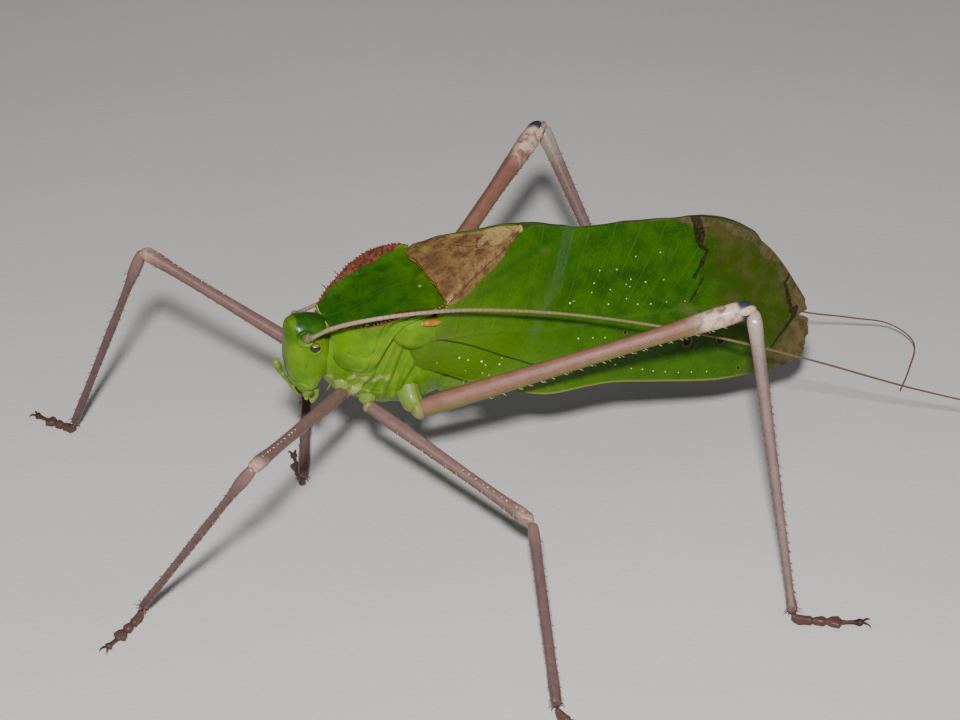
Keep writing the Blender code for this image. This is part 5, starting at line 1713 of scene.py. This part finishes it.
CHEST_RUST = [
    (1, (1.0, -5.4), (1.2, 0.8)), (1, (0.6, 2.2), (1.3, 0.9)), (0.9, (-8.8, -12.0), (1.4, 0.7))
]
CHEST_YELLOW = [(1, (-10.4, -11.6), (1.0, 0.8)), (1, (-13.4, -8.6), (1.6, 1.6))]
CHEST_CREAM = [
    (1, (-18.9, -7.0), (1.5, 3.0)), (0.8, (-14.0, -4.6), (1.8, 0.8)),
    (0.8, (-9.6, -5.2), (2.2, 1.0))
]


def chest():
    """Egg rings pushed out by the shoulder's hills, pressed in by seams 0.34 exp(-(d / 0.36)^2)."""
    rows = smooth_route(THORAX_ROWS, 220)
    x, low, high, half, egg = (rows[:, k][:, None] for k in range(5))
    grid, normal, turn = trunk_rings(x, low, high, half, egg, 0.9, 220)
    side_flat = np.stack([grid[..., 0], grid[..., 2]], axis=-1)
    shoulder = add_bumps(0, side_flat, CHEST_SHOULDERS)
    grid[..., 1] += np.sign(grid[..., 1]) * shoulder * clamp(np.abs(grid[..., 1]) / 2)
    warp = 0.45 * wave_noise(grid[..., 0], grid[..., 2], 37, 2.4)[..., None]
    groove = np.zeros(grid.shape[:2])
    plate = np.zeros(grid.shape[:2])
    for k, line in enumerate(CHEST_SEAMS):
        away = line_distance(side_flat + warp * [1.0, 0.3], line)
        groove = np.maximum(groove, (0.7 + 0.3 * math.sin(4 * k)) * hill(away, 0.36))
        plate = np.maximum(plate, hill(away - 1.3, 0.8))
    for line in (
        [(-15.0, -7.4), (-9.0, -9.6), (-3.0, -9.8)], [(-13.0, -12.6), (-4.0, -13.6), (4.0, -12.2)]
    ):
        groove = np.maximum(groove, 0.7 * near_line(side_flat + warp, line, 0.3))
    below = clamp((6.5 - grid[..., 2]) / 3)
    relief = (
        (-0.34 * groove + 0.16 * plate) * below
        + 0.16 * wave_noise(grid[..., 0] * 1.2, turn * 9 + 0 * x, 41, 1.4)
    )
    relief = add_bumps(relief, side_flat, CHEST_PLATES)
    rusty = add_bumps(0, side_flat, CHEST_RUST)
    yellow = add_bumps(0, side_flat, CHEST_YELLOW)
    cream = add_bumps(0, side_flat, CHEST_CREAM)
    pale = (
        0.5 * plate * below + 0.25 * groove * below + 0.7 * yellow
        + cream * (0.6 + 0.5 * wave_noise(grid[..., 0], grid[..., 2], 39, 0.45))
    )
    marks = {"pale": clamp(pale) * 0.9, "red": 0.52 * rusty,
             "deep": 0 * x + np.clip((grid[..., 2] - 9.5) / 2, 0, 0.4)}
    return closed_rings(grid + normal * relief[..., None], marks)


def abdomen():
    """Nine rings: radius times 1 + 0.045 s squared - 0.07 exp(-(s / 0.07) squared) along each."""
    x = np.concatenate([np.linspace(6.0, 52.0, 330), [52.6, 53.0, 53.2]])[:, None]
    t = clamp((x - 7.0) / 45.0)
    s = (t * ABDOMEN_RINGS) % 1
    swell = (1 + 0.045 * s ** 2 - 0.07 * hill(s, 0.07)) * np.sqrt(clamp((53.25 - x) / 2.2))
    half = 7.8 * (1 - 0.52 * t ** 1.6) * swell
    tall = 10.9 * (1 - 0.62 * t ** 1.2) * swell
    middle = -4.0 - 1.0 * t
    grid, normal, turn = trunk_rings(x, middle - tall, middle + tall, half, 0.28, 0.95, 144)
    cosine = np.cos(turn)
    seam = hill(cosine + 0.72, 0.03)
    spiracle = hill(s - 0.35, 0.07) * hill(cosine + 0.50, 0.05)
    relief = (
        -0.28 * seam - 0.25 * spiracle
        + 0.05 * wave_noise(x * 1.5 + 0 * turn, turn * 8 + 0 * x, 47, 0.9)
    )
    marks = {
        "pale": clamp(0.75 * (s > 0.9) + 0.5 * seam), "red": 0.8 * spiracle,
        "deep": 0.42 * clamp(cosine) ** 3 + 0 * x
    }
    return closed_rings(grid + normal * relief[..., None], marks)


def tail_plate():
    """A short flat tube over the end of the abdomen, wider than it is high."""
    route = smooth_route([(48.6, 0, -8.4), (52.0, 0, -8.5), (55.0, 0, -7.8), (57.2, 0, -6.9)], 50)
    s = np.linspace(0, 1, 50)
    radius = soft(s, [0, 0.08, 0.5, 0.88, 1.0], [0.4, 1.55, 1.35, 0.75, 0.1])[:, None]
    turn = full_turn(48)[None, :]
    return carry(route, radius * (1 + 0.32 * np.cos(turn) ** 2), 48, (0, 0, 1.0), body=True)


CLASPER = [
    (50.6, 2.2, -3.1), (52.6, 3.2, -2.9), (54.8, 3.5, -2.8), (57.0, 2.7, -2.4), (58.4, 0.95, -2.0)
]


def clasper(side):
    """A hook tapering to a point, curving in to meet its fellow, with a small dark tip."""
    s = np.linspace(0, 1, 90)
    form = carry(
        smooth_route(mirrored(CLASPER, side), 90),
        soft(s, [0, 0.06, 0.3, 0.7, 0.94, 1.0], [0.3, 0.85, 0.8, 0.55, 0.3, 0.04]), 32, (0, 0, 1.0),
        body=True
    )
    form["marks"]["red"] = clamp((form["marks"]["along"] - 0.8) * 6)
    return form


def shoulder_pad(side):
    """A smooth egg under the saddle's rear corner, filling the hollow in front of the wing."""
    return egg((-1.2, side * 8.5, 7.2), (6.6, 4.1, 5.2), 80, 96)


def back_pad():
    """The back between the wings' roots, risen so that no light shows under the song field."""
    return egg((9.5, 0, 10.0), (6.0, 8.5, 6.3), 60, 72)


neck_thorns = thorns(
    stand([(-17.2, -1.9, -9.0), (-17.2, 1.9, -9.0)]), [(-0.3, -0.1, -1.0), (-0.3, 0.1, -1.0)],
    [(-1.0, 0, 0), (-1.0, 0, 0)], [2.2, 2.2], [0.5, 0.5], 20, 16, 0.35
)
make_piece(
    "chest_skin",
    join_shells([chest(), neck_thorns, shoulder_pad(-1), shoulder_pad(1), back_pad()]), body_green,
    ("thorax",)
)
make_piece(
    "abdomen_skin", join_shells([abdomen(), tail_plate()]), body_green, ("abdomen",)
)
for word, side in SIDES.items():
    make_piece(f"clasper_{word}", clasper(side), body_green, (f"cercus_{word}",))

# %% [markdown]
# ## Legs
# Every leg comes from one table: three lengths and a few angles. The hip's place,
# the knee and the ankle follow from them, since the ankle must stand at its known
# height over the floor.

# %% The legs' table
ANKLE_HEIGHT = 3.0
LEG_SIZES = {
    "fore": {
        "femur": 48.5, "tibia": 58.8, "tarsus": 13.0, "femur_radius": 1.45, "tibia_radius": 1.15
    },
    "mid": {"femur": 45.0, "tibia": 42.2, "tarsus": 13.0, "femur_radius": 1.4, "tibia_radius": 1.2},
    "hind": {
        "femur": 76.7, "tibia": 66.3, "tarsus": 16.5, "femur_radius": 2.3, "tibia_radius": 1.65
    }
}
HIPS = {"fore": (-15.6, 5.6, -9.6), "mid": (-10.2, 6.2, -13.6), "hind": (-0.6, 10.9, -13.3)}
HIP_ROOTS = {"fore": (-16.0, 4.0, -5.0), "mid": (-9.6, 3.6, -8.0), "hind": (-1.6, 4.8, -8.0)}
STANCE = {
    "fore_left": (-131.5, 16.9, 132.2, -144.0), "fore_right": (135.1, 22.3, 139.8, 127.0),
    "mid_left": (-54.7, -18.5, -105.6, -65.0), "mid_right": (84.2, -20.0, -111.7, 83.0),
    "hind_left": (-17.5, 17.5, -99.7, -25.0), "hind_right": (37.1, 18.4, -66.1, 12.0)
}
FEMUR = {
    "fore": ([0, 0.12, 0.35, 0.62, 0.84, 0.94, 1.0], [0.95, 1.08, 0.98, 0.86, 0.92, 1.08, 0.95]),
    "mid": ([0, 0.12, 0.35, 0.62, 0.84, 0.94, 1.0], [0.95, 1.08, 1.0, 0.9, 0.96, 1.12, 0.98]),
    "hind": (
        [0, 0.06, 0.18, 0.36, 0.6, 0.72, 0.82, 0.94, 1.0],
        [0.78, 0.98, 1.0, 0.92, 0.82, 0.84, 0.97, 1.02, 0.82]
    )
}
LEG_HAIR = {
    "fore": {"shin_thorns": 17, "thigh_thorns": 11, "thigh_hairs": 150, "shin_hairs": 220},
    "mid": {"shin_thorns": 14, "thigh_thorns": 11, "thigh_hairs": 150, "shin_hairs": 220},
    "hind": {"shin_thorns": 27, "thigh_thorns": 19, "thigh_hairs": 260, "shin_hairs": 300}
}
TIBIA = {
    "fore": (
        [0, 0.05, 0.1, 0.16, 0.45, 0.75, 0.97, 1.0], [0.85, 1.18, 1.2, 0.94, 0.84, 0.76, 0.80, 0.74]
    ),
    "mid": ([0, 0.06, 0.15, 0.45, 0.75, 0.97, 1.0], [0.85, 1.1, 1.02, 0.98, 0.94, 0.94, 0.84]),
    "hind": (
        [0, 0.04, 0.1, 0.3, 0.55, 0.8, 0.95, 0.98, 1.0],
        [0.8, 1.08, 1.0, 0.84, 0.71, 0.61, 0.63, 0.74, 0.66]
    )
}


def direction(turn, rise):
    """The unit vector at a turn from +X towards +Y and a rise above level, in degrees."""
    turn, rise = math.radians(turn), math.radians(rise)
    return np.array([
        math.cos(turn) * math.cos(rise), math.sin(turn) * math.cos(rise), math.sin(rise)
    ])


def leg_points(name):
    """Hip; knee = hip + femur d(turn, rise); ankle = knee + tibia d(turn, -fall), at its height."""
    pair, side = name.split("_")
    sizes, (femur_turn, rise, tibia_turn, _) = LEG_SIZES[pair], STANCE[name]
    hip = stand(mirrored(HIPS[pair], SIDES[side]))
    knee = hip + direction(femur_turn, rise) * sizes["femur"]
    fall = math.degrees(math.asin((knee[2] - ANKLE_HEIGHT) / sizes["tibia"]))
    return hip, knee, knee + direction(tibia_turn, -fall) * sizes["tibia"]


for name in STANCE:
    print(name, [p.round(1).tolist() for p in leg_points(name)])

# %% [markdown]
# The thigh and shin are straight limbs with measured swellings, four weak edges
# and rounded ends. A knee adds two lobes and a hard dark joint. Thorns stand in
# rows, each leaning towards the foot, with short hairs between them.

# %% Limbs and their thorns


def row_of_thorns(
    a, b, facing, profile, size, first, last, count, length, radius, rng, sides=6, rings=5,
    stagger=0.25
):
    """Roots at a + (b - a) share on the side faced; each thorn leans towards b."""
    ahead = unit(b - a)
    facing = square_to(facing, ahead)
    steps = np.arange(count) + stagger * rng.uniform(-1, 1, count)
    shares = first + (last - first) * steps / max(count - 1, 1)
    out = soft(shares, *profile) * size
    roots = a + (b - a) * shares[:, None] + facing * (out * 0.93)[:, None]
    lean = np.tile(ahead, (count, 1))
    heads = facing + 0.55 * ahead + 0.08 * rng.normal(size=(count, 3))
    return thorns(
        roots, heads, lean, length * rng.uniform(0.8, 1.2, count), np.full(count, radius), sides,
        rings, 0.3
    )


def hairs(a, b, profile, size, count, rng):
    """Short bristles all round a limb, three-sided and leaning towards its end."""
    ahead = unit(b - a)
    side = unit(np.cross(ahead, (0.3, 0.2, 1.0)))
    over = np.cross(side, ahead)
    shares = rng.uniform(0.05, 0.97, count)
    turns = rng.uniform(0, 2 * np.pi, count)
    facing = np.cos(turns)[:, None] * side + np.sin(turns)[:, None] * over
    roots = a + (b - a) * shares[:, None] + facing * (soft(shares, *profile) * size * 0.97)[:, None]
    return thorns(
        roots, facing + 0.9 * ahead, np.tile(ahead, (count, 1)), rng.uniform(0.35, 0.7, count),
        np.full(count, 0.045), 3, 3, 0.3
    )


def knee_lobes(a, b, bend, radius):
    """Two rounded flaps beside the end of the thigh, each an egg drawn out along it."""
    ahead = unit(b - a)
    across = unit(np.cross(ahead, bend))
    under = unit(np.cross(across, ahead))
    flaps = []
    for sign in (-1, 1):
        middle = b - ahead * radius * 0.9 + across * sign * radius * 0.52 + under * radius * 0.16
        route = middle + ahead * (np.linspace(-1.5, 1.25, 26) * radius)[:, None]
        size = radius * 0.55 * np.sqrt(np.clip(1 - np.linspace(-1, 1, 26) ** 2, 0.002, 1)) ** 0.9
        flap = carry(route, size, 24, under)
        flap["marks"]["along"] = 0.93 + 0.03 * flap["marks"]["along"]
        flaps.append(flap)
    return flaps


def foot(name):
    """Smooth padded joints flat on the floor, then the claw joint and two curved claws."""
    pair = name.split("_")[0]
    ankle, length = leg_points(name)[2], LEG_SIZES[pair]["tarsus"]
    ahead = direction(STANCE[name][3], 0.0)
    across = np.array([-ahead[1], ahead[0], 0.0])
    start = np.array([ankle[0], ankle[1], 0.0]) - ahead * 0.2
    share = np.linspace(0, 0.95, 130)[:, None]
    knots = [
        0, 0.03, 0.08, 0.2, 0.26, 0.285, 0.31, 0.36, 0.43, 0.465, 0.49, 0.53, 0.58, 0.63, 0.66,
        0.70, 0.82, 0.93, 0.95
    ]
    half = soft(
        share, knots,
        [
            0.35, 0.6, 0.78, 0.8, 0.86, 0.6, 0.72, 0.95, 1.02, 0.66, 0.85, 1.25, 1.45, 1.5, 0.7,
            0.46, 0.44, 0.58, 0.2
        ]
    )
    low = soft(
        share, knots,
        [
            1.2, 0.7, 0.0, 0.0, 0.0, 0.25, 0.0, 0.0, 0.0, 0.25, 0.0, 0.0, 0.0, 0.0, 0.3, 0.3, 0.45,
            0.45, 0.9
        ]
    )
    high = soft(
        share, knots,
        [
            2.3, 2.5, 2.3, 1.95, 1.8, 1.55, 1.65, 1.75, 1.7, 1.45, 1.5, 1.6, 1.55, 1.4, 1.15, 1.15,
            1.25, 1.45, 1.2
        ]
    )
    turn = full_turn(40)[None, :]
    sole = np.where(np.sin(turn) < 0, 0.35, 0.8)
    z = (low + high) / 2 + signed_power(np.sin(turn), sole) * (high - low) / 2
    y = signed_power(np.cos(turn), 0.75) * half
    grid = (
        start + ahead * (length * share)[..., None] + across * y[..., None]
        + np.array([0, 0, 1.0]) * np.maximum(z, 0.0)[..., None]
    )
    pads = closed_rings(
        grid, {"along": share + 0 * turn, "above": np.sin(turn) + 0 * share}, body=False
    )
    claws = []
    for sign in (-1, 1):
        root = start + ahead * length * 0.92 + across * sign * 0.16 + np.array([0, 0, 0.95])
        out = unit(ahead + across * sign * 0.55)
        route = smooth_route(
            [
                root, root + out * length * 0.06 + np.array([0, 0, 0.28]),
                root + out * length * 0.115 + np.array([0, 0, 0.02]),
                root + out * length * 0.145 + np.array([0, 0, -0.8])
            ],
            30
        )
        claw = carry(route, 0.24 * (1 - np.linspace(0, 1, 30) ** 1.6 * 0.9), 16, across)
        claw["marks"]["along"] = 0.9 + 0.1 * claw["marks"]["along"]
        claws.append(claw)
    return join_shells([pads] + claws)


def hip_form(number, name, thigh_way, bend):
    """A swollen joint from the chest to the hip, furrowed outside, and a ring round the thigh."""
    pair, side = name.split("_")
    sign = SIDES[side]
    thick = LEG_SIZES[pair]["femur_radius"]
    root = stand(mirrored(HIP_ROOTS[pair], sign))
    hip = leg_points(name)[0]
    girth = [c * thick * (0.78 if pair == "hind" else 1.0) for c in (1.5, 1.52, 1.38, 1.25, 1.12)]
    joint = limb(
        root, hip + unit(hip - root) * thick * 0.2, [0, 0.35, 0.7, 0.88, 1.0], girth, 56,
        (0.2, sign * 1.0, 0.3), 60
    )
    knobs = wave_noise(
        joint["points"][:, 0] + joint["points"][:, 1], joint["points"][:, 2] * 1.2, 60 + number, 1.3
    )
    outer = square_to(np.array([0.45, sign * 1.0, 0.1]), unit(hip - root))
    furrow = line_distance(
        joint["points"],
        [
            root + outer * thick * 1.1, (root + hip) / 2 + outer * thick * 1.35,
            hip + outer * thick * 0.9
        ]
    )
    swell = 0.22 * knobs - 0.30 * hill(furrow, 0.38)
    joint["points"] = joint["points"] + unit(joint["points"] - (root + hip) / 2) * swell[:, None]
    ring = limb(
        hip - thigh_way * thick * 0.5, hip + thigh_way * thick * 1.15, [0, 0.35, 0.7, 1.0],
        [c * thick for c in (0.8, 1.02, 1.0, 0.85)], 44, bend, 16
    )
    ring["marks"]["along"] = 0.82 + 0.18 * ring["marks"]["along"]
    return join_shells([joint, ring])


# %% Build the six legs
dark_thorns, pale_thorns, bristles, dots = [], [], [], []
for number, name in enumerate(STANCE):
    pair, side = name.split("_")
    sign = SIDES[side]
    rng = np.random.default_rng(100 + number)
    hip, knee, ankle = leg_points(name)
    sizes = LEG_SIZES[pair]
    thick, thin = sizes["femur_radius"], sizes["tibia_radius"]
    shin_way, thigh_way = unit(ankle - knee), unit(knee - hip)
    bend = square_to(shin_way, thigh_way)

    make_piece(
        f"hip_{name}", hip_form(number, name, thigh_way, bend), hip_skin,
        (f"coxa_{name}",)
    )

    profile = FEMUR[pair]
    thigh = limb(
        hip, knee + thigh_way * thick * 0.1, profile[0], [c * thick for c in profile[1]], 48, bend,
        150, 0.045
    )
    skin = hind_femur_skin if pair == "hind" else femur_skin
    make_piece(
        f"thigh_{name}", join_shells([thigh] + knee_lobes(hip, knee, bend, thick * 0.92)), skin,
        (f"femur_{name}",)
    )

    profile_shin = TIBIA[pair]
    start = knee + shin_way * thick * 0.15
    shin = limb(
        start, ankle, profile_shin[0], [c * thin for c in profile_shin[1]], 44, bend, 170, 0.07
    )
    make_piece(
        f"shin_{name}", shin, hind_tibia_skin if pair == "hind" else tibia_skin,
        (f"tibia_{name}",)
    )
    make_piece(f"foot_{name}", foot(name), foot_skin, (f"tarsus_{name}",))

    back = unit(np.cross(shin_way, np.cross(thigh_way, shin_way)))
    around = unit(np.cross(shin_way, back))
    count = LEG_HAIR[pair]["shin_thorns"]
    for way, length in (
        (back + around * 0.8, 0.95), (back - around * 0.8, 0.95), (-back + around * 0.8, 0.7),
        (-back - around * 0.8, 0.7)
    ):
        dark_thorns.append(
            row_of_thorns(
                start, ankle, way, profile_shin, thin, 0.12, 0.96, count, length, 0.17, rng
            )
        )
    for turn in full_turn(6):
        way = math.cos(turn) * back + math.sin(turn) * around
        dark_thorns.append(
            row_of_thorns(
                start, ankle, way, profile_shin, thin, 0.985, 0.985, 1, 1.2, 0.2, rng, stagger=0.0
            )
        )
    count = LEG_HAIR[pair]["thigh_thorns"]
    across = unit(np.cross(thigh_way, bend))
    for tilt in (-0.45, 0.45):
        pale_thorns.append(
            row_of_thorns(
                hip, knee, bend + across * tilt, profile, thick, 0.22, 0.9, count, 0.9, 0.2, rng
            )
        )
    if pair != "hind":
        shares = np.linspace(0.58, 0.93, 10) + rng.uniform(-0.01, 0.01, 10)
        facing = square_to(np.array([0, sign * 0.5, 1.0]), thigh_way)
        places = (
            hip + (knee - hip) * shares[:, None]
            + facing * (soft(shares, *profile) * thick * 0.97)[:, None]
        )
        dots.append(domes(places, np.tile(facing, (10, 1)), rng.uniform(0.13, 0.2, 10)))
    bristles.append(hairs(hip, knee, profile, thick, LEG_HAIR[pair]["thigh_hairs"], rng))
    bristles.append(hairs(start, ankle, profile_shin, thin, LEG_HAIR[pair]["shin_hairs"], rng))

for name, forms, skin in (
    ("shin_thorns", dark_thorns, thorn_skin),
    ("thigh_thorns", pale_thorns, pale_thorn_skin),
    ("thigh_dots", dots, wart_skin),
    ("bristles", bristles, thorn_skin)
):
    make_piece(name, join_shells(forms), skin)
